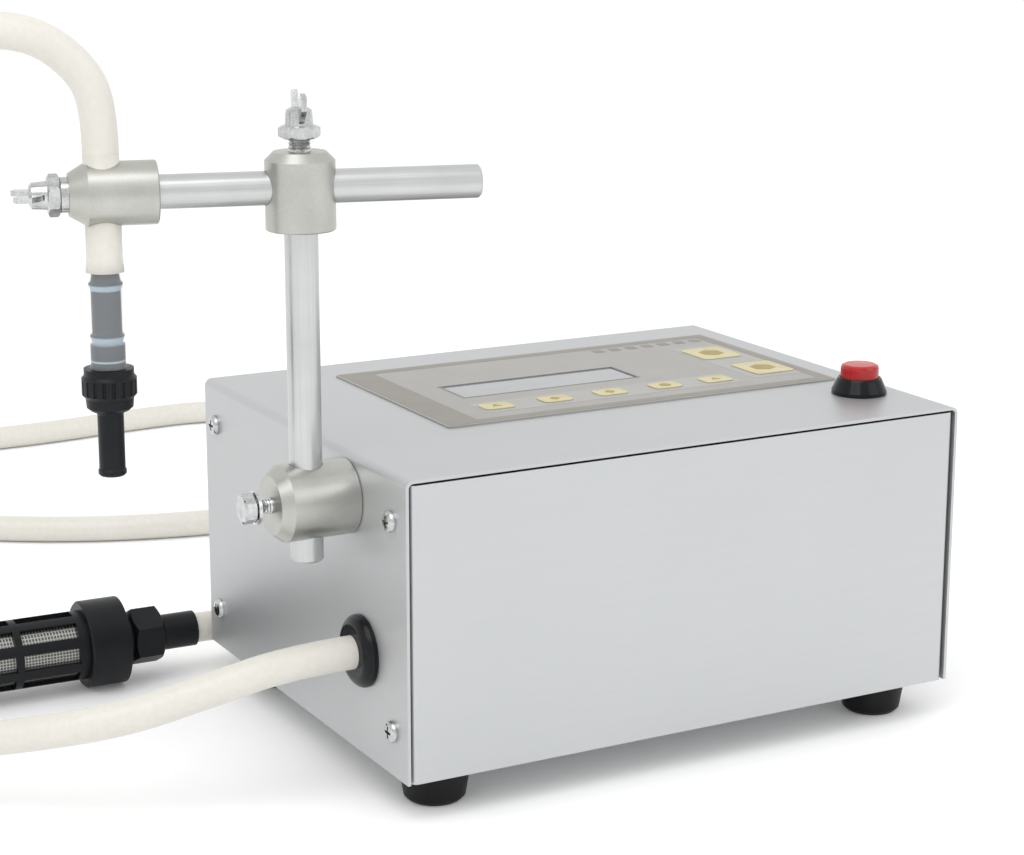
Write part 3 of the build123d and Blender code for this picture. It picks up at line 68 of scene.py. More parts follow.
MM = 0.001
Point = tuple[float, float, float]


def low(node: str) -> Vector:
    """Lowest corner of a node."""
    return Vector(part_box(node)[0])


def high(node: str) -> Vector:
    """Highest corner of a node."""
    return Vector(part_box(node)[1])


def middle(node: str) -> Vector:
    """Centre of a node's box."""
    return (low(node) + high(node)) / 2


CASE_MIDDLE = middle("cover")


def beside_case(x: float, y: float, z: float) -> Vector:
    """A point given in millimetres from the middle of the case's footprint.

    Args:
        x: distance towards the fill button.
        y: distance towards the rear panel.
        z: height above the table.

    Returns:
        The point in the row frame, in metres.
    """
    return Vector((CASE_MIDDLE.x + x * MM, CASE_MIDDLE.y + y * MM, z * MM))


# ---------------------------------------------------------------- materials
def linear(colour: str) -> tuple[float, float, float, float]:
    """An sRGB hex colour as linear RGBA."""
    parts = [int(colour[k : k + 2], 16) / 255 for k in (1, 3, 5)]
    return (*[c / 12.92 if c <= 0.04045 else ((c + 0.055) / 1.055) ** 2.4 for c in parts], 1.0)


def add_node(tree: bpy.types.NodeTree, kind: str, links: dict | None = None, **settings) -> bpy.types.Node:
    """Add a shader node with its settings and its incoming links.

    Args:
        tree: the material's node tree.
        kind: the node's type.
        links: input socket name or number to the output socket that feeds it.
        settings: node properties, or input values where the key starts with "in_".

    Returns:
        The new node.
    """
    node = tree.nodes.new(kind)
    for name, value in settings.items():
        if name.startswith("in_"):
            node.inputs[name[3:].replace("_", " ")].default_value = value
        else:
            setattr(node, name, value)
    for socket, source in (links or {}).items():
        tree.links.new(source, node.inputs[socket])
    return node


def empty_material(name: str) -> bpy.types.Material:
    """Make a material whose node tree is empty.

    Args:
        name: the material's name.

    Returns:
        The material.
    """
    material = bpy.data.materials.new(name)
    material.use_nodes = True
    material.node_tree.nodes.clear()
    return material


class Surface:
    """What every kind of finish can do."""

    def make(self) -> bpy.types.Material:
        """Make the material. Each kind of finish has its own."""
        raise NotImplementedError

    def dress(self, *objects: bpy.types.Object) -> None:
        """Give the finish to objects, in place of what they wear."""
        for thing in objects:
            thing.data.materials.clear()
            thing.data.materials.append(self.make())


class Grain(Enum):
    """Scale of the relief along each axis, by the direction in which a surface was brushed or drawn."""

    ALONG_X = (0.012, 1.0, 1.0)
    ALONG_Y = (1.0, 0.012, 1.0)
    ALONG_Z = (1.0, 1.0, 0.012)
    EVEN = (1.0, 1.0, 1.0)


@dataclass(frozen=True)
class Finish(Surface):
    """A surface with fine relief and a slow change of colour.

    Attributes:
        name: what the material is and how its surface was made.
        light: the lighter colour.
        dark: the darker colour, between the light patches.
        roughness: mean roughness.
        metallic: 1 on bare metal.
        grain_mm: size of the relief's grain.
        relief_mm: depth of the relief.
        patch_mm: size of the colour patches.
        grain: direction of the relief.
        spread: how far roughness swings about its mean.
        turn: turn of the grain about Z, in degrees.
        uniform: values set straight on the shader's sockets.
    """

    name: str
    light: str
    dark: str
    roughness: float
    metallic: float = 0.0
    grain_mm: float = 0.6
    relief_mm: float = 0.02
    patch_mm: float = 30.0
    grain: Grain = Grain.EVEN
    spread: float = 0.06
    turn: float = 0.0
    uniform: tuple[tuple[str, float], ...] = ()

    def make(self) -> bpy.types.Material:
        """Make the material, or fetch it if it has been made.

        Returns:
            The node material.
        """
        known = bpy.data.materials.get(self.name)
        if known:
            return known
        material = empty_material(self.name)
        tree = material.node_tree
        place = add_node(tree, "ShaderNodeTexCoord").outputs["Object"]
        turned = add_node(
            tree,
            "ShaderNodeMapping",
            {"Vector": place},
            in_Rotation=(0.0, 0.0, math.radians(self.turn)),
        ).outputs["Vector"]
        along = add_node(
            tree, "ShaderNodeMapping", {"Vector": turned}, in_Scale=self.grain.value
        ).outputs["Vector"]
        patches = add_node(
            tree,
            "ShaderNodeTexNoise",
            {"Vector": turned},
            in_Scale=1 / (self.patch_mm * MM),
            in_Detail=4.0,
            in_Roughness=0.55,
        ).outputs["Fac"]
        fine = add_node(
            tree,
            "ShaderNodeTexNoise",
            {"Vector": along},
            in_Scale=1 / (self.grain_mm * MM),
            in_Detail=3.0,
            in_Roughness=0.6,
        ).outputs["Fac"]
        blend = add_node(
            tree, "ShaderNodeMath", {0: patches, 1: fine}, operation="MULTIPLY"
        ).outputs[0]
        share = add_node(
            tree, "ShaderNodeMapRange", {"Value": blend}, in_From_Min=0.12, in_From_Max=0.42
        ).outputs["Result"]
        colour = add_node(tree, "ShaderNodeMix", {"Factor": share}, data_type="RGBA")
        colour.inputs[6].default_value = linear(self.dark)
        colour.inputs[7].default_value = linear(self.light)
        rough = add_node(
            tree,
            "ShaderNodeMapRange",
            {"Value": fine},
            in_To_Min=max(0.02, self.roughness - self.spread),
            in_To_Max=min(1.0, self.roughness + self.spread),
        ).outputs["Result"]
        bump = add_node(
            tree, "ShaderNodeBump", {"Height": fine}, in_Strength=0.6, in_Distance=self.relief_mm * MM
        ).outputs["Normal"]
        shader = add_node(
            tree,
            "ShaderNodeBsdfPrincipled",
            {"Base Color": colour.outputs[2], "Roughness": rough, "Normal": bump},
        )
        shader.inputs["Metallic"].default_value = self.metallic
        for socket, value in self.uniform:
            shader.inputs[socket].default_value = value
        add_node(tree, "ShaderNodeOutputMaterial", {"Surface": shader.outputs["BSDF"]})
        return material


# brushed stainless sheet: long faint streaks and soft reflections
SHEET_COVER = Finish(
    "stainless sheet brushed front to back", "#BFC1C2", "#BBBDBE", roughness=0.42, metallic=0.7,
    relief_mm=0.002, patch_mm=120, grain=Grain.ALONG_Y, spread=0.025
)
SHEET_TUB = Finish(
    "stainless sheet brushed across", "#C1C3C4", "#BDBFC1", roughness=0.33, metallic=0.95,
    relief_mm=0.002, patch_mm=120, grain=Grain.ALONG_X, spread=0.025
)
# aluminium cast and bead blasted: even dull grey with small pits
CAST_BLOCK = Finish(
    "bead-blasted cast aluminium", "#C0C0BB", "#AFAFA9", roughness=0.34, metallic=1.0,
    grain_mm=0.45, relief_mm=0.03, patch_mm=14, spread=0.08
)
# drawn aluminium rod: bright with faint lines along its length
ROD_UPRIGHT = Finish(
    "drawn aluminium rod upright", "#CACBCA", "#BCBEBE", roughness=0.32, metallic=0.95,
    grain_mm=0.8, relief_mm=0.008, patch_mm=25, grain=Grain.ALONG_Z, spread=0.07
)
ROD_LEVEL = Finish(
    "drawn aluminium rod level", "#CACBCA", "#BCBEBE", roughness=0.32, metallic=0.95, grain_mm=0.8,
    relief_mm=0.008, patch_mm=25, grain=Grain.ALONG_X, spread=0.07, turn=14.0
)
# bright zinc plate on steel: small sharp reflections
ZINC = Finish(
    "bright zinc-plated steel", "#D6D7D6", "#ABADAF", roughness=0.15, metallic=1.0,
    relief_mm=0.006, patch_mm=3.0
)
# steel rods and tubes, ground smooth: darker than zinc, with faint lines
GROUND_STEEL = Finish(
    "ground steel", "#BFC1C3", "#A3A5A8", roughness=0.26, metallic=1.0, grain_mm=0.5,
    relief_mm=0.004, patch_mm=10, grain=Grain.ALONG_X
)
# turned brass, left bare: warm yellow with a dull shine
BRASS = Finish(
    "turned brass", "#D2B568", "#B08E45", roughness=0.3, metallic=1.0, grain_mm=0.5,
    relief_mm=0.006, patch_mm=8
)
# platinum-cured silicone hose: milky ivory with a soft sheen
HOSE = Finish(
    "milky silicone hose", "#D8D6CF", "#D1CEC5", roughness=0.34, grain_mm=2.5, relief_mm=0.008,
    patch_mm=45, spread=0.05, uniform=(("IOR", 1.41),)
)
# the same hose stretched thin over the barb, where it turns clear
SLEEVE = Finish(
    "stretched clear silicone", "#F5F4EC", "#EDEBE0", roughness=0.16, grain_mm=3.0,
    relief_mm=0.008, patch_mm=20, spread=0.04, uniform=(("Alpha", 0.08), ("IOR", 1.41))
)
# black mouldings and rubber reflect less than clear plastic would
DULL = (("Specular IOR Level", 0.22),)
# ABS from a textured mould: near black with a fine satin grain
BLACK_ABS = Finish(
    "moulded black ABS", "#14171B", "#0C0E11", roughness=0.38, grain_mm=0.5, patch_mm=10,
    spread=0.08, uniform=DULL
)
# the same ABS from a polished mould: small clear reflections
GLOSS_BLACK = Finish(
    "polished black ABS", "#101215", "#0A0B0D", roughness=0.16, grain_mm=0.8, relief_mm=0.006,
    patch_mm=12, spread=0.04, uniform=DULL
)
# moulded nitrile rubber: matt, almost black
RUBBER = Finish(
    "black nitrile rubber", "#121315", "#0B0C0E", roughness=0.5, grain_mm=0.7, patch_mm=9,
    spread=0.08, uniform=DULL
)
# rubber moulded in a polished tool, so it shines
GLOSS_RUBBER = Finish(
    "polished black rubber", "#111317", "#0B0C0E", roughness=0.24, grain_mm=0.7, relief_mm=0.008,
    patch_mm=9, uniform=DULL
)
# ABS from a polished mould: deep red with a sharp highlight
RED_ABS = Finish(
    "gloss red ABS", "#AE080D", "#9A0509", roughness=0.16, grain_mm=1.0, relief_mm=0.006,
    patch_mm=9, spread=0.04
)
# polyester film with a fine hard coat: pale grey, satin
FILM = Finish(
    "satin polyester film", "#9C9A96", "#93918D", roughness=0.36, metallic=0.2, relief_mm=0.006,
    patch_mm=18, spread=0.05
)
# ink printed on the film's underside: flat colour under the film's satin
FILM_BORDER = Finish(
    "taupe print under film", "#87827A", "#7B756D", roughness=0.4, metallic=0.1, grain_mm=0.7,
    relief_mm=0.006, patch_mm=14, spread=0.05
)
FILM_PALE = Finish(
    "pale print under film", "#A3A29E", "#9A9994", roughness=0.36, metallic=0.15, grain_mm=0.7,
    relief_mm=0.006, patch_mm=14, spread=0.05
)
FILM_DARK = Finish(
    "grey print under film", "#7E7B77", "#716E6A", roughness=0.38, metallic=0.1, grain_mm=0.5,
    relief_mm=0.004, patch_mm=9, spread=0.05
)
# printed domes pressed up in the film: pale gold with a soft edge
KEY_GOLD = Finish(
    "pale gold key dome", "#CBC294", "#BFB482", roughness=0.3, metallic=0.15, relief_mm=0.008,
    patch_mm=6, spread=0.05
)
KEY_MARK = Finish(
    "amber key mark", "#9E8B45", "#8B7939", roughness=0.4, grain_mm=0.5, relief_mm=0.004,
    patch_mm=5, spread=0.05
)
# glass of a display that is off: even grey with clear reflections
LCD = Finish(
    "unlit liquid crystal glass", "#989A9C", "#8F9193", roughness=0.12, grain_mm=0.9,
    relief_mm=0.003, patch_mm=12, spread=0.03
)
LCD_EDGE = Finish(
    "dark glass edge", "#5E605F", "#4C4E4D", roughness=0.25, grain_mm=0.8, relief_mm=0.004,
    patch_mm=10, spread=0.04
)
# solder mask over copper: glossy green
BOARD = Finish("green solder mask", "#1F6B3A", "#165030", roughness=0.3, grain_mm=0.9, patch_mm=9)
# enamelled copper wire under varnish: brown gold with fine lines
WOUND = Finish(
    "varnished winding", "#B48A3C", "#7A5A22", roughness=0.45, metallic=0.2, grain_mm=0.5,
    relief_mm=0.05, patch_mm=5, grain=Grain.ALONG_Z, spread=0.08
)
# steel under a baked black coat: matt with a weak metal sheen
MOTOR = Finish(
    "black-coated motor steel", "#222326", "#161719", roughness=0.4, metallic=0.3, patch_mm=10,
    spread=0.08
)
# PTFE turned on a lathe: waxy white
SEAL = Finish(
    "machined PTFE", "#ECEBE6", "#DEDCD5", roughness=0.4, relief_mm=0.01, patch_mm=6, spread=0.05
)


@dataclass(frozen=True)
class WovenMesh(Surface):
    """Stainless wire cloth, drawn with a coarser weave than the real 60 mesh so that it shows.

    Attributes:
        name: what the material is.
        wire: colour of the wires' crowns.
        opening_shade: colour in the openings, painted shade of the strainer's inside seen through them.
        pitch_mm: distance from wire to wire.
    """

    name: str = "woven stainless wire cloth"
    wire: str = "#A9A9A5"
    # the openings are painted dark grey for the shade inside the strainer
    opening_shade: str = "#4B4B49"
    pitch_mm: float = 1.3

    def make(self) -> bpy.types.Material:
        """Make the material.

        Returns:
            The node material.
        """
        material = empty_material(self.name)
        tree = material.node_tree
        place = add_node(tree, "ShaderNodeTexCoord").outputs["Object"]
        # at a scale of 1 the bands repeat every two pi over 20 units, so this draws one for each wire
        scale = 2 * math.pi / (20 * self.pitch_mm * MM)
        bands = [
            add_node(
                tree, "ShaderNodeTexWave", {"Vector": place}, bands_direction=axis, in_Scale=scale
            ).outputs["Fac"]
            for axis in ("X", "Z")
        ]
        weave = add_node(tree, "ShaderNodeMath", {0: bands[0], 1: bands[1]}, operation="MAXIMUM").outputs[0]
        sharp = add_node(
            tree, "ShaderNodeMapRange", {"Value": weave}, in_From_Min=0.45, in_From_Max=0.95
        ).outputs["Result"]
        colour = add_node(tree, "ShaderNodeMix", {"Factor": sharp}, data_type="RGBA")
        colour.inputs[6].default_value = linear(self.opening_shade)
        colour.inputs[7].default_value = linear(self.wire)
        bump = add_node(
            tree, "ShaderNodeBump", {"Height": weave}, in_Strength=0.8, in_Distance=0.2 * MM
        ).outputs["Normal"]
        shader = add_node(
            tree,
            "ShaderNodeBsdfPrincipled",
            {"Base Color": colour.outputs[2], "Normal": bump},
            in_Metallic=0.8,
            in_Roughness=0.35,
        )
        add_node(tree, "ShaderNodeOutputMaterial", {"Surface": shader.outputs["BSDF"]})
        return material


@dataclass(frozen=True)
class GrippedNylon(Surface):
    """Blue-grey nylon seen through a clear sleeve, with painted reflection: pale rings where the sleeve
    stands off its ridges.

    Attributes:
        name: what the material is.
        body: colour of the nylon.
        shade: its darker colour.
        pale: colour of the painted reflection rings, where the sleeve stands off the ridges.
        sheen_rings_mm: middle height and half width of each ring.
    """

    name: str = "moulded blue-grey nylon"
    body: str = "#22384E"
    shade: str = "#16263A"
    # painted reflection: pale rings where the clear sleeve stands off the barb's ridges
    pale: str = "#93A8B9"
    sheen_rings_mm: tuple[tuple[float, float], ...] = ((191.7, 1.2), (173.2, 1.6), (166.0, 0.45))

    def make(self) -> bpy.types.Material:
        """Make the material.

        Returns:
            The node material.
        """
        material = empty_material(self.name)
        tree = material.node_tree
        place = add_node(tree, "ShaderNodeTexCoord").outputs["Object"]
        height = add_node(tree, "ShaderNodeSeparateXYZ", {"Vector": place}).outputs["Z"]
        mottle = add_node(
            tree, "ShaderNodeTexNoise", {"Vector": place}, in_Scale=1 / (3.5 * MM), in_Detail=4.0
        ).outputs["Fac"]
        nylon = add_node(tree, "ShaderNodeMix", {"Factor": mottle}, data_type="RGBA")
        nylon.inputs[6].default_value = linear(self.shade)
        nylon.inputs[7].default_value = linear(self.body)
        share = None
        # paint the sleeve's reflection rings over the nylon's colour
        for middle_mm, half_mm in self.sheen_rings_mm:
            away = add_node(tree, "ShaderNodeMath", {0: height}, operation="SUBTRACT")
            away.inputs[1].default_value = middle_mm * MM
            apart = add_node(tree, "ShaderNodeMath", {0: away.outputs[0]}, operation="ABSOLUTE").outputs[0]
            ring = add_node(
                tree,
                "ShaderNodeMapRange",
                {"Value": apart},
                in_From_Min=half_mm * MM,
                in_From_Max=0.6 * half_mm * MM,
            ).outputs["Result"]
            share = (
                ring
                if share is None
                else add_node(tree, "ShaderNodeMath", {0: share, 1: ring}, operation="MAXIMUM").outputs[0]
            )
        colour = add_node(tree, "ShaderNodeMix", {"Factor": share, 6: nylon.outputs[2]}, data_type="RGBA")
        colour.inputs[7].default_value = linear(self.pale)
        bump = add_node(
            tree, "ShaderNodeBump", {"Height": mottle}, in_Strength=0.5, in_Distance=0.02 * MM
        ).outputs["Normal"]
        shader = add_node(
            tree,
            "ShaderNodeBsdfPrincipled",
            {"Base Color": colour.outputs[2], "Normal": bump},
            in_Roughness=0.35,
        )
        add_node(tree, "ShaderNodeOutputMaterial", {"Surface": shader.outputs["BSDF"]})
        return material


# ---------------------------------------------------------------- mesh helpers
def new_object(
    name: str, mesh: bmesh.types.BMesh, finish: Finish, smooth: bool = True
) -> bpy.types.Object:
    """Turn a bmesh into a finished object at the origin.

    Args:
        name: the piece's name.
        mesh: the shape, in the row frame. It is freed.
        finish: the piece's surface.
        smooth: whether faces are shaded smooth.

    Returns:
        The new object.
    """
    bmesh.ops.recalc_face_normals(mesh, faces=mesh.faces)
    for face in mesh.faces:
        face.smooth = smooth
    data = bpy.data.meshes.new(name)
    mesh.to_mesh(data)
    mesh.free()
    thing = bpy.data.objects.new(name, data)
    bpy.context.collection.objects.link(thing)
    finish.dress(thing)
    return thing


def rounded_plate(
    mesh: bmesh.types.BMesh, centre: Vector, width: float, depth: float, height: float, corner: float
) -> None:
    """Add a flat plate with rounded corners and softened top edges to a bmesh.

    Args:
        mesh: the bmesh to add to.
        centre: middle of the plate's underside.
        width: size along X.
        depth: size along Y.
        height: size along Z.
        corner: radius of the upright corners.
    """
    made = bmesh.ops.create_cube(mesh, size=1.0)["verts"]
    bmesh.ops.scale(mesh, vec=(width, depth, height), verts=made)
    bmesh.ops.translate(mesh, vec=centre + Vector((0, 0, height / 2)), verts=made)
    edges = {edge for vert in made for edge in vert.link_edges}
    upright = [e for e in edges if abs(e.verts[0].co.z - e.verts[1].co.z) > height / 2]
    rounded = bmesh.ops.bevel(
        mesh,
        geom=upright,
        offset=corner,
        offset_type="OFFSET",
        segments=5,
        profile=0.5,
        affect="EDGES",
        material=-1,
    )
    verts = {v for v in made if v.is_valid} | set(rounded["verts"])
    crown = {e for v in verts for e in v.link_edges}
    top = [e for e in crown if all(v.co.z > centre.z + 0.99 * height for v in e.verts)]
    bmesh.ops.bevel(
        mesh,
        geom=top,
        offset=min(0.35 * height, 0.3 * corner),
        offset_type="OFFSET",
        segments=2,
        profile=0.5,
        affect="EDGES",
        material=-1,
    )


def spun(profile: list[tuple[float, float]], axis: Vector, steps: int = 48) -> bmesh.types.BMesh:
    """A closed turned shape about an upright axis.

    Args:
        profile: closed loop of radius and height, in metres.
        axis: a point on the axis.
        steps: number of sides.

    Returns:
        The bmesh of the shape.
    """
    mesh = bmesh.new()
    verts = [mesh.verts.new((axis.x + r, axis.y, z)) for r, z in profile]
    edges = [mesh.edges.new((a, b)) for a, b in zip(verts, verts[1:] + verts[:1])]
    bmesh.ops.spin(
        mesh,
        geom=verts + edges,
        cent=(axis.x, axis.y, 0),
        axis=(0, 0, 1),
        angle=2 * math.pi,
        steps=steps,
        use_merge=True,
    )
    bmesh.ops.remove_doubles(mesh, verts=mesh.verts, dist=1e-7)
    return mesh


# ---------------------------------------------------------------- studio
TABLE_TOP = Finish(
    "white table top", "#FBFBFB", "#F7F7F7", roughness=0.7, grain_mm=2.0, relief_mm=0.01,
    patch_mm=200, spread=0.03,
    uniform=(("Emission Color", (1.0, 1.0, 1.0, 1.0)), ("Emission Strength", 0.06)),
)


@dataclass(frozen=True)
class Lamp:
    """A square soft lamp that looks at the case.

    Attributes:
        name: the lamp's name.
        place: where it hangs.
        size: its side.
        power: its power in watts.
    """

    name: str
    place: Point
    size: float
    power: float


@dataclass
class Studio:
    """Plain table, soft light and the camera.

    Attributes:
        eye: the camera's place beside the case, in millimetres.
        right: the camera's direction to the right.
        ahead: the camera's direction of sight.
        lens: focal length in millimetres.
        sensor: the sensor's width in millimetres.
        nearest: nearest distance that the camera draws.
        farthest: farthest distance that the camera draws.
        lamps: the lamps.
        aim: the point at which the lamps look.
        floor_size: side of the table top.
        floor_drop: how far the table top lies below the feet.
    """

    eye: Point = (-475.4, -819.5, 342.7)
    right: Point = (0.87763452, -0.47932805, 0.00150628)
    ahead: Point = (0.46607673, 0.85262949, -0.2362106)
    lens: float = 85.43
    sensor: float = 36.0
    nearest: float = 0.02
    farthest: float = 60.0
    lamps: tuple[Lamp, ...] = (
        Lamp("key lamp", (-0.9, -0.7, 1.9), 1.6, 16.0),
        Lamp("fill lamp", (1.2, -1.6, 1.2), 1.4, 5.0),
    )
    aim: Point = (0.0, 0.0, 0.08)
    floor_size: float = 14.0
    floor_drop: float = 0.0002

    def set_camera(self) -> None:
        """Place the camera before the front left corner of the case."""
        right = Vector(self.right).normalized()
        ahead = Vector(self.ahead).normalized()
        up = right.cross(ahead)
        turn = Matrix((right, up, -ahead)).transposed().to_4x4()
        data = bpy.data.cameras.new("camera")
        data.lens = self.lens
        data.sensor_width = self.sensor
        data.sensor_fit = "HORIZONTAL"
        data.clip_start = self.nearest
        data.clip_end = self.farthest
        camera = bpy.data.objects.new("camera", data)
        camera.matrix_world = Matrix.Translation(beside_case(*self.eye)) @ turn
        bpy.context.collection.objects.link(camera)
        bpy.context.scene.camera = camera

    def set_light(self) -> None:
        """Light the scene from a white world, a wide lamp overhead and a weaker one at the front."""
        world = bpy.data.worlds.new("studio")
        world.use_nodes = True
        background = world.node_tree.nodes["Background"]
        background.inputs["Color"].default_value = (1.0, 1.0, 1.0, 1.0)
        background.inputs["Strength"].default_value = 1.0
        bpy.context.scene.world = world
        bpy.context.scene.view_settings.view_transform = "Standard"
        for lamp in self.lamps:
            data = bpy.data.lights.new(lamp.name, "AREA")
            data.size = lamp.size
            data.energy = lamp.power
            light = bpy.data.objects.new(lamp.name, data)
            place = Vector(lamp.place)
            turn = (Vector(self.aim) - place).to_track_quat("-Z", "Y")
            light.matrix_world = Matrix.Translation(place) @ turn.to_matrix().to_4x4()
            bpy.context.collection.objects.link(light)

    def set_floor(self) -> None:
        """Lay a wide pale table top."""
        mesh = bmesh.new()
        bmesh.ops.create_grid(mesh, x_segments=1, y_segments=1, size=self.floor_size / 2)
        floor = new_object("table", mesh, TABLE_TOP, smooth=False)
        floor.data.transform(Matrix.Translation((0, 0, -self.floor_drop)))


# ---------------------------------------------------------------- hoses
# a bevelled curve then has 24 sides
BEVEL_RESOLUTION = 10


def route_curve(name: str, points: list[Vector], radius: float) -> bpy.types.Object:
    """A smooth hose: one NURBS spline whose control points are the route's points.

    Args:
        name: the piece's name.
        points: the route.
        radius: outer radius, or 0 for a bare line.

    Returns:
        The curve object.
    """
    data = bpy.data.curves.new(name, "CURVE")
    data.dimensions = "3D"
    data.resolution_u = 20
    data.bevel_depth = radius
    data.bevel_resolution = BEVEL_RESOLUTION
    data.use_fill_caps = True
    spline = data.splines.new("NURBS")
    spline.points.add(len(points) - 1)
    for knot, place in zip(spline.points, points):
        knot.co = (*place, 1.0)
    spline.order_u = 3
    spline.use_endpoint_u = True
    spline.use_smooth = True
    curve = bpy.data.objects.new(name, data)
    bpy.context.collection.objects.link(curve)
    return curve


def evaluated_line(points: list[Vector]) -> list[Vector]:
    """The points of the smooth line that a route's spline makes.

    Args:
        points: the route.

    Returns:
        Points along the line, in order.
    """
    bare = route_curve("route", points, 0.0)
    bpy.context.view_layer.update()
    shape = bpy.data.meshes.new_from_object(bare.evaluated_get(bpy.context.evaluated_depsgraph_get()))
    line = [v.co.copy() for v in shape.vertices]
    bpy.data.meshes.remove(shape)
    bpy.data.objects.remove(bare)
    return line


def tube_stretches(
    names: list[str], line: list[Vector], cuts: list[int], radius: float
) -> list[bpy.types.Object]:
    """One mesh tube along a line, cut into stretches that share their end rings.

    Args:
        names: a name for each stretch.
        line: points along the tube's middle.
        cuts: numbers of the line's points at which the stretches begin and end.
        radius: outer radius.

    Returns:
        The stretches, each closed at both ends.
    """
    data = bpy.data.curves.new("guide", "CURVE")
    data.dimensions = "3D"
    data.bevel_depth = radius
    data.bevel_resolution = BEVEL_RESOLUTION
    spline = data.splines.new("POLY")
    spline.points.add(len(line) - 1)
    for knot, place in zip(spline.points, line):
        knot.co = (*place, 1.0)
    guide = bpy.data.objects.new("guide", data)
    bpy.context.collection.objects.link(guide)
    bpy.context.view_layer.update()
    whole = bpy.data.meshes.new_from_object(guide.evaluated_get(bpy.context.evaluated_depsgraph_get()))
    bpy.data.objects.remove(guide)
    around = len(whole.vertices) // len(line)
    stretches = []
    for name, first, last in zip(names, cuts, cuts[1:]):
        mesh = bmesh.new()
        mesh.from_mesh(whole)
        mesh.verts.ensure_lookup_table()
        spare = [v for v in mesh.verts if not first <= v.index // around <= last]
        bmesh.ops.delete(mesh, geom=spare, context="VERTS")
        bmesh.ops.recalc_face_normals(mesh, faces=mesh.faces)
        for face in mesh.faces:
            face.smooth = True
        rims = [e for e in mesh.edges if e.is_boundary]
        for edge in rims:
            edge.smooth = False
        for cap in bmesh.ops.holes_fill(mesh, edges=rims, sides=0)["faces"]:
            cap.smooth = False
        bmesh.ops.recalc_face_normals(mesh, faces=mesh.faces)
        shape = bpy.data.meshes.new(name)
        mesh.to_mesh(shape)
        mesh.free()
        tube = bpy.data.objects.new(name, shape)
        bpy.context.collection.objects.link(tube)
        stretches.append(tube)
    bpy.data.meshes.remove(whole)
    return stretches


def line_length(line: list[Vector]) -> float:
    """Length of a line of points."""
    return sum((b - a).length for a, b in zip(line, line[1:]))


@dataclass(frozen=True)
class LoopSection:
    """A stretch of the outlet hose between two bodies.

    Attributes:
        name: the piece's name.
        bodies: the body it leaves and the body it reaches; not used.
        share: where the stretch ends, as a share of the loop's length.
        toward: direction along which it passes from one body to the other; not used.
    """

    name: str
    bodies: tuple[str, str]
    share: float
    toward: Point


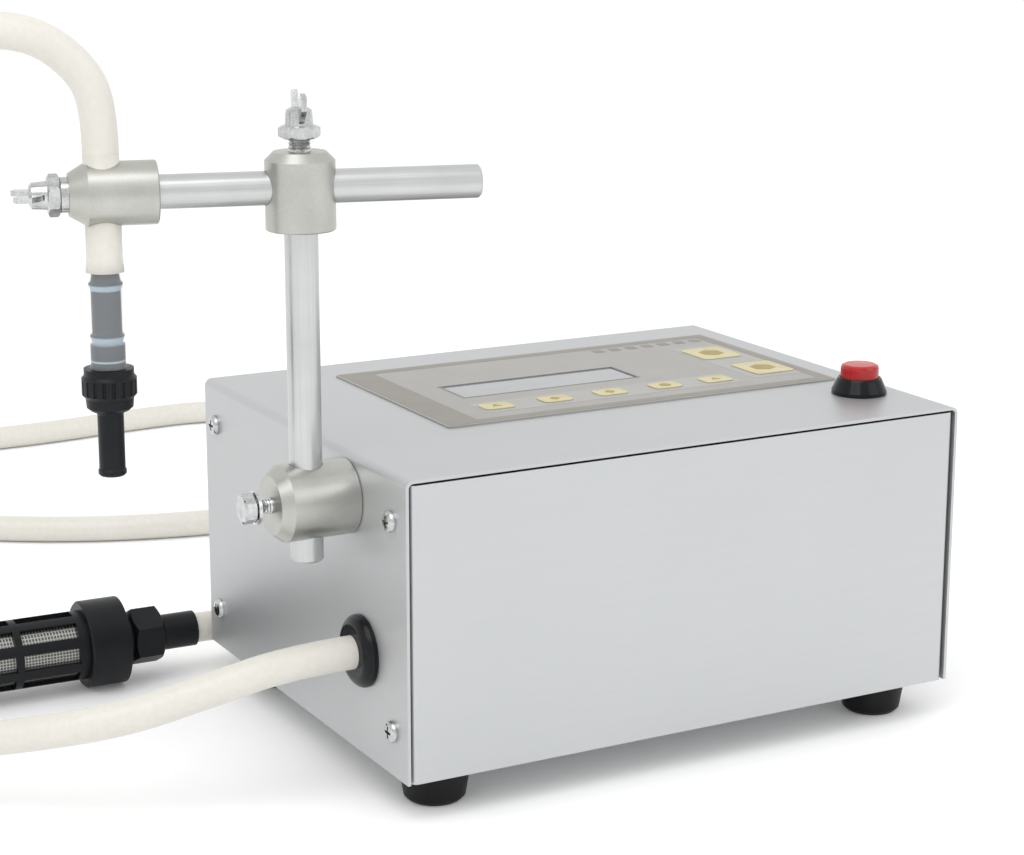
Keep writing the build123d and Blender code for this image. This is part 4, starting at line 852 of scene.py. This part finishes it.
@dataclass
class Hoses:
    """The free silicone hoses: outlet, its loop up to the nozzle, and suction.

    Attributes:
        radius: outer radius.
        shortest_cord: length below which a stretch would go with the one before it; not used.
        outlet_route: points beside the case, in millimetres, of the stretch that lies still.
        loop_route: points beside the case, in millimetres, from there up to the nozzle.
        entry_route: the loop's last points, in millimetres: from the nozzle's axis, and in height.
        suction_route: points beside the case, in millimetres, from the rear panel to the strainer.
        sections: the stretches into which the loop is cut.
    """

    radius: float = 6.25 * MM
    shortest_cord: float = 76.25 * MM
    outlet_route: list[Point] = field(
        default_factory=lambda: [
            (-124.6, -56.5, 55),
            (-150, -56.5, 55),
            (-176, -51, 48),
            (-202, -41, 39),
            (-226, -27, 33),
            (-248, -8.5, 27.5),
        ]
    )
    loop_route: list[Point] = field(
        default_factory=lambda: [
            (-248, -8.5, 27.5),
            (-270, 10, 22),
            (-296, 22, 17),
            (-322, 26, 28),
            (-342, 24, 58),
            (-350, 18, 98),
            (-350, 11, 140),
            (-345, 3, 182),
            (-332, -5, 222),
            (-308, -12, 256),
            (-275, -17.5, 277),
            (-245, -21, 281),
            (-223, -25, 279),
        ]
    )
    entry_route: tuple[Point, ...] = ((-5.5, 0.7, 267.0), (0.0, 0.0, 254.0))
    suction_route: list[Point] = field(
        default_factory=lambda: [
            (62, 97.6, 52),
            (62, 128, 52),
            (66, 172, 26),
            (72, 215, 6.25),
            (80, 262, 6.25),
            (92, 320, 6.25),
            (104, 385, 6.25),
            (108, 445, 6.25),
            (88, 498, 6.25),
            (45, 521, 6.25),
            (-5, 519, 6.25),
            (-54, 512, 6.25),
            (-104, 513, 6.25),
            (-157, 504, 6.25),
            (-194, 466, 6.25),
            (-203, 416, 6.25),
            (-182, 366, 6.25),
            (-143, 330, 6.25),
            (-94, 303, 6.25),
            (-42, 289, 6.25),
            (8, 284, 6.25),
            (44, 258, 6.25),
            (52, 214, 6.25),
            (36, 168, 6.25),
            (-4, 140, 6.25),
            (-50, 129, 6.25),
            (-86, 117.5, 10.25),
            (-112.8, 102.09, 18),
            (-132.8, 102.61, 18),
        ]
    )
    sections: tuple[LoopSection, ...] = (
        LoopSection("outlet_loop_low", ("case", "mast"), 0.355, (0.0, 0.0, 1.0)),
        LoopSection("outlet_loop_rise", ("mast", "cross"), 0.70, (0.25, 0.0, 1.0)),
        LoopSection("outlet_loop_crown", ("cross", "arm"), 0.89, (1.0, 0.0, 0.0)),
        LoopSection("outlet_loop_turn", ("arm", "nozzle_holder"), 0.945, (0.6, 0.0, -0.8)),
        LoopSection("outlet_loop_end", ("nozzle_holder", "nozzle"), 1.0, (0.0, 0.0, -1.0)),
    )

    def build_outlet(self) -> None:
        """Build the stretch from the case's side that lies still."""
        points = [beside_case(*p) for p in self.outlet_route]
        hose = route_curve("outlet_hose_run", points, self.radius)
        HOSE.dress(hose)
        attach(hose, "case")
        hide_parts("outlet_hose")
        line_length(evaluated_line(points))
        log.info("outlet hose run done")

    def build_loop(self) -> None:
        """Build the loop up to the nozzle, in stretches that share their end rings."""
        hole = middle("nozzle_hose")
        points = [beside_case(*p) for p in self.loop_route]
        points += [Vector((hole.x + x * MM, hole.y + y * MM, z * MM)) for x, y, z in self.entry_route]
        points.append(Vector((hole.x, hole.y, high("nozzle_hose").z)))
        line = evaluated_line(points)
        total = line_length(line)
        run = 0.0
        marks = [0.0]
        for before, after in zip(line, line[1:]):
            run += (after - before).length
            marks.append(run / total)
        cuts = [0] + [
            min(range(len(marks)), key=lambda k: abs(marks[k] - section.share)) for section in self.sections
        ]
        tubes = tube_stretches([section.name for section in self.sections], line, cuts, self.radius)
        for section, tube, first, last in zip(self.sections, tubes, cuts, cuts[1:]):
            HOSE.dress(tube)
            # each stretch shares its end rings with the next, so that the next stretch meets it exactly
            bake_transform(tube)
            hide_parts("outlet_hose_loop")

    def build_suction(self) -> None:
        """Build the suction hose from the rear panel to the strainer."""
        points = [beside_case(*p) for p in self.suction_route]
        hose = route_curve("suction_hose_run", points, self.radius)
        HOSE.dress(hose)
        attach(hose, "case")
        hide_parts("suction_hose")
        line_length(evaluated_line(points))
        log.info("suction hose done")

    def build(self) -> None:
        """Build every free hose."""
        self.build_outlet()
        self.build_loop()
        self.build_suction()


# ---------------------------------------------------------------- nozzle
@dataclass
class NozzleSleeve:
    """The end of the hose, pushed over the nozzle's barb, where it stretches and turns clear.

    Attributes:
        wall: the hose's wall where it isn't stretched.
        radius: its outer radius there.
        bulge: outer radius over the barb.
        barb_clearance: room between the barb and the bore.
        stretched_wall: how much wider than the hose the sleeve is where the bulge ends.
        flare: how much wider it is at the shoulder, where it turns clear.
        necking: how far the bore draws in above the barb.
        shoulder_rise: height of the shoulder above the barb.
        bore_rise: height above the barb from which the bore is the hose's own.
        taper_rise: height above the barb from which the outside is the hose's own.
        grip: depth below the barb's top at which the bore reaches its full width.
        rim: how far the rim at the lower end is rounded.
    """

    wall: float = 2.0 * MM
    radius: float = 6.25 * MM
    bulge: float = 7.4 * MM
    barb_clearance: float = 0.15 * MM
    stretched_wall: float = 0.7 * MM
    flare: float = 0.45 * MM
    necking: float = 1.0 * MM
    shoulder_rise: float = 0.6 * MM
    bore_rise: float = 2.5 * MM
    taper_rise: float = 6.0 * MM
    grip: float = 3.0 * MM
    rim: float = 0.4 * MM

    def add(self, name: str, profile: list[tuple[float, float]], finish: Finish) -> None:
        """Add one turned piece to the nozzle.

        Args:
            name: the piece's name.
            profile: its closed outline, as radius and height.
            finish: its surface.
        """
        piece = new_object(name, spun(profile, middle("nozzle_hose"), 56), finish)
        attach(piece, "nozzle")
        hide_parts("nozzle_hose")

    def build(self) -> None:
        """Build the milky upper end and the clear lower end."""
        bottom = low("nozzle_hose").z
        top = high("nozzle_hose").z
        barb_top = high("nozzle_barb").z
        turn = barb_top + self.shoulder_rise
        barb = (high("nozzle_barb").x - low("nozzle_barb").x) / 2 + self.barb_clearance
        bore = self.radius - self.wall
        shoulder = self.radius + self.flare
        self.add(
            "nozzle_sleeve_upper",
            [
                (bore, top),
                (bore, barb_top + self.bore_rise),
                (barb - self.necking, turn),
                (shoulder, turn),
                (self.radius, barb_top + self.taper_rise),
                (self.radius, top),
            ],
            HOSE,
        )
        self.add(
            "nozzle_sleeve_lower",
            [
                (barb - self.necking, turn),
                (barb, barb_top - self.grip),
                (barb, bottom + 0.2 * MM),
                (self.bulge - self.rim, bottom + 0.1 * MM),
                (self.bulge, bottom + 0.6 * MM),
                (self.bulge, bottom + 10 * MM),
                (self.bulge - 0.15 * MM, bottom + 16 * MM),
                (self.radius + self.stretched_wall, barb_top - self.grip),
                (shoulder, turn),
            ],
            SLEEVE,
        )
        log.info("nozzle sleeve done")


# ---------------------------------------------------------------- fill button's spring
@dataclass
class ButtonSpring:
    """The coil under the fill button's cap, built at one length, though the real one shortens as the cap
    goes down.

    Attributes:
        turns: number of turns.
        steps: straight steps in one turn.
        wire: radius of the wire.
        travel: how far the cap goes down; not used.
    """

    turns: int = 6
    steps: int = 32
    wire: float = 0.45 * MM
    travel: float = 3.0 * MM

    def build(self) -> None:
        """Build the coil between the bezel's floor and the cap."""
        lowest = low("button_spring")
        highest = high("button_spring")
        centre = middle("button_spring")
        radius = (highest.x - lowest.x) / 2 - self.wire
        bottom = lowest.z + self.wire
        rise = highest.z - lowest.z - 2 * self.wire
        count = self.turns * self.steps
        line = []
        for k in range(count + 1):
            angle = 2 * math.pi * k / self.steps
            x = centre.x + radius * math.cos(angle)
            y = centre.y + radius * math.sin(angle)
            line.append(Vector((x, y, bottom + rise * k / count)))
        (coil,) = tube_stretches(["button_spring_coil"], line, [0, count], self.wire)
        GROUND_STEEL.dress(coil)
        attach(coil, "case")
        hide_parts("button_spring")
        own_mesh(coil)
        log.info("button spring done")


# ---------------------------------------------------------------- keypad
class KeyMark(Enum):
    """Plain marks printed on the keys, by their number of corners."""

    UP = 3
    SQUARE = 4
    WIDE = 6
    ROUND = 20


@dataclass
class Keypad:
    """Print and keys of the membrane keypad.

    Attributes:
        print_height: thickness of the print.
        key_height: how far a key's dome stands up.
        key_corner: radius of a dome's corners.
        mark_height: thickness of a key's mark.
        mark_share: a mark's radius, as a share of its key's depth.
        small_keys: place and mark of each small key.
        small_size: width and depth of a small key, in millimetres.
        large_keys: place of each large key.
        large_size: width and depth of a large key, in millimetres.
        fields: middle, width and depth of the pale fields behind the keys, in millimetres.
        field_corner: radius of their corners.
        header_ends: distance along X of the header's first and last block.
        header_depth: distance along Y of the header.
        header_count: number of blocks in the header.
        header_size: width and depth of a block, in millimetres.
        header_corner: radius of a block's corners.
        bare_edge: width of bare film outside the border.
        border_left: width of the border at the left, from the film's edge.
        border: width of the border elsewhere, from the film's edge.
        window_inset: distance from the display's edge to its window.
        rim: width of the rim round the window.

    Places are in millimetres from the case's front left corner.
    """

    print_height: float = 0.06 * MM
    key_height: float = 0.35 * MM
    key_corner: float = 2.2 * MM
    mark_height: float = 0.08 * MM
    mark_share: float = 0.26
    small_keys: tuple[tuple[float, float, KeyMark], ...] = (
        (80.3, 83.4, KeyMark.UP),
        (106.5, 83.4, KeyMark.SQUARE),
        (131.7, 83.4, KeyMark.SQUARE),
        (157.6, 83.4, KeyMark.ROUND),
        (181.7, 83.4, KeyMark.UP),
    )
    small_size: tuple[float, float] = (13.0, 9.6)
    large_keys: tuple[tuple[float, float], ...] = ((208.5, 127.2), (211.6, 93.0))
    large_size: tuple[float, float] = (19.0, 21.0)
    fields: tuple[tuple[float, float, float, float], ...] = (
        (131.0, 83.4, 118.0, 17.0),
        (210.0, 110.0, 25.0, 64.0),
    )
    field_corner: float = 2.0 * MM
    header_ends: tuple[float, float] = (168.0, 217.0)
    header_depth: float = 153.7
    header_count: int = 7
    header_size: tuple[float, float] = (5.0, 5.2)
    header_corner: float = 0.8 * MM
    bare_edge: float = 1.2 * MM
    border_left: float = 15.0 * MM
    border: float = 6.0 * MM
    window_inset: float = 6.2 * MM
    rim: float = 1.1 * MM

    def spot(self, x: float, y: float) -> Vector:
        """A point on the film's upper face, from the case's front left corner in millimetres."""
        corner = low("cover")
        return Vector((corner.x + x * MM, corner.y + y * MM, high("keypad_overlay").z))

    def keep(self, thing: bpy.types.Object) -> None:
        """Fix a finished piece to the case."""
        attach(thing, "case")

    def add_frame(
        self, name: str, outer: tuple[Vector, Vector], inner: tuple[Vector, Vector], finish: Finish
    ) -> None:
        """Add a flat rectangular frame as thick as the print.

        Args:
            name: the piece's name.
            outer: lowest and highest corner of its outside.
            inner: lowest and highest corner of its opening.
            finish: its surface.
        """
        mesh = bmesh.new()
        z = outer[0].z
        rings = []
        for a, b in (outer, inner):
            corners = ((a.x, a.y), (b.x, a.y), (b.x, b.y), (a.x, b.y))
            ring = [mesh.verts.new((x, y, z)) for x, y in corners]
            rings.append([mesh.edges.new(pair) for pair in zip(ring, ring[1:] + ring[:1])])
        bmesh.ops.bridge_loops(mesh, edges=rings[0] + rings[1])
        made = bmesh.ops.extrude_face_region(mesh, geom=list(mesh.faces))
        raised = [v for v in made["geom"] if isinstance(v, bmesh.types.BMVert)]
        bmesh.ops.translate(mesh, vec=(0, 0, self.print_height), verts=raised)
        self.keep(new_object(name, mesh, finish, smooth=False))

    def build_print(self) -> None:
        """Build the border, the fields and the header printed under the film."""
        lowest = low("keypad_overlay")
        highest = high("keypad_overlay")
        lowest.z = highest.z
        edge = Vector((self.bare_edge, self.bare_edge, 0))
        inset = Vector((self.border_left, self.border, 0))
        far_inset = Vector((self.border, self.border, 0))
        outer = (lowest + edge, highest - edge)
        inner = (lowest + inset, highest - far_inset)
        self.add_frame("keypad_border", outer, inner, FILM_BORDER)
        fields = bmesh.new()
        for x, y, width, depth in self.fields:
            rounded_plate(
                fields, self.spot(x, y), width * MM, depth * MM, self.print_height, self.field_corner
            )
        self.keep(new_object("keypad_fields", fields, FILM_PALE, smooth=False))
        first, last = self.header_ends
        width, depth = self.header_size
        blocks = bmesh.new()
        for k in range(self.header_count):
            spot = self.spot(first + (last - first) * k / (self.header_count - 1), self.header_depth)
            rounded_plate(blocks, spot, width * MM, depth * MM, self.print_height, self.header_corner)
        self.keep(new_object("keypad_header", blocks, FILM_DARK, smooth=False))

    def build_keys(self) -> None:
        """Build the raised domes and the plain marks on them."""
        lift = Vector((0, 0, self.print_height))
        domes = bmesh.new()
        marks = bmesh.new()
        places = [(x, y, *self.small_size, mark) for x, y, mark in self.small_keys]
        places += [(x, y, *self.large_size, KeyMark.WIDE) for x, y in self.large_keys]
        for x, y, width, depth, mark in places:
            base = self.spot(x, y) + lift
            rounded_plate(domes, base, width * MM, depth * MM, self.key_height, self.key_corner)
            disc = bmesh.ops.create_cone(
                marks,
                cap_ends=True,
                segments=mark.value,
                radius1=self.mark_share * depth * MM,
                radius2=self.mark_share * depth * MM,
                depth=self.mark_height,
            )["verts"]
            bmesh.ops.translate(marks, vec=base + Vector((0, 0, self.key_height)), verts=disc)
        self.keep(new_object("keypad_domes", domes, KEY_GOLD))
        self.keep(new_object("keypad_marks", marks, KEY_MARK, smooth=False))

    def build_display(self) -> None:
        """Build the dark rim round the display's window."""
        lowest = low("display_module")
        highest = high("display_module")
        lowest.z = high("keypad_overlay").z
        highest.z = lowest.z
        inset = Vector((self.window_inset, self.window_inset, 0))
        rim = Vector((self.rim, self.rim, 0))
        window = (lowest + inset, highest - inset)
        self.add_frame("display_rim", (window[0] - rim, window[1] + rim), window, LCD_EDGE)

    def build(self) -> None:
        """Build the print, the keys and the display's rim."""
        self.build_print()
        self.build_keys()
        self.build_display()
        log.info("keypad done")


# ---------------------------------------------------------------- finishes of the carried-over nodes
NODE_FINISHES: dict[str, Finish | WovenMesh | GrippedNylon] = {
    "chassis": SHEET_TUB,
    "cover": SHEET_COVER,
    "cover_screws": ZINC,
    "feet": RUBBER,
    "foot_screws": ZINC,
    "hose_grommet": GLOSS_RUBBER,
    "suction_grommet": GLOSS_RUBBER,
    "keypad_overlay": FILM,
    "display_module": LCD,
    "control_board": BOARD,
    "board_spacers": BRASS,
    "button_bezel": GLOSS_BLACK,
    "button_cap": RED_ABS,
    "button_nut": BLACK_ABS,
    "power_inlet": BLACK_ABS,
    "switch_housing": BLACK_ABS,
    "switch_rocker": GLOSS_BLACK,
    "pedal_socket": ZINC,
    "power_supply": WOUND,
    "pump_motor": MOTOR,
    "motor_plate": CAST_BLOCK,
    "lead_screw": GROUND_STEEL,
    "guide_rods": GROUND_STEEL,
    "carriage": CAST_BLOCK,
    "piston_rod": GROUND_STEEL,
    "piston": GROUND_STEEL,
    "piston_seal": SEAL,
    "cylinder": GROUND_STEEL,
    "cylinder_plate": CAST_BLOCK,
    "valve_head": GROUND_STEEL,
    "inlet_elbow": GROUND_STEEL,
    "outlet_elbow": GROUND_STEEL,
    "inlet_ball": GROUND_STEEL,
    "outlet_ball": GROUND_STEEL,
    "plate_screws": ZINC,
    "base_block": CAST_BLOCK,
    "block_fixing_screw": ZINC,
    "base_bolt": ZINC,
    "base_bolt_washer": ZINC,
    "mast": ROD_UPRIGHT,
    "cross_block": CAST_BLOCK,
    "cross_wing_screw": ZINC,
    "cross_lock_nut": ZINC,
    "arm": ROD_LEVEL,
    "nozzle_block": CAST_BLOCK,
    "nozzle_wing_screw": ZINC,
    "nozzle_lock_nut": ZINC,
    "nozzle_barb": GrippedNylon(),
    "nozzle_nut": BLACK_ABS,
    "nozzle_tip": BLACK_ABS,
    "strainer_head": BLACK_ABS,
    "strainer_cage": BLACK_ABS,
    "strainer_mesh": WovenMesh(),
    "pump_outlet_hose": HOSE,
    "pump_inlet_hose": HOSE,
}


def dress_nodes() -> None:
    """Give every carried-over node its finish."""
    for name, finish in NODE_FINISHES.items():
        finish.dress(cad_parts[name])
    log.info("%d nodes dressed", len(NODE_FINISHES))


def main() -> None:
    """Build the camera, the hoses and the other new pieces, dress the rest, then light it."""
    logging.basicConfig(level=logging.INFO, format="%(message)s")
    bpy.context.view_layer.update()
    studio = Studio()
    studio.set_camera()
    Hoses().build()
    NozzleSleeve().build()
    ButtonSpring().build()
    Keypad().build()
    dress_nodes()
    studio.set_light()
    studio.set_floor()


if __name__ == "__main__":
    main()
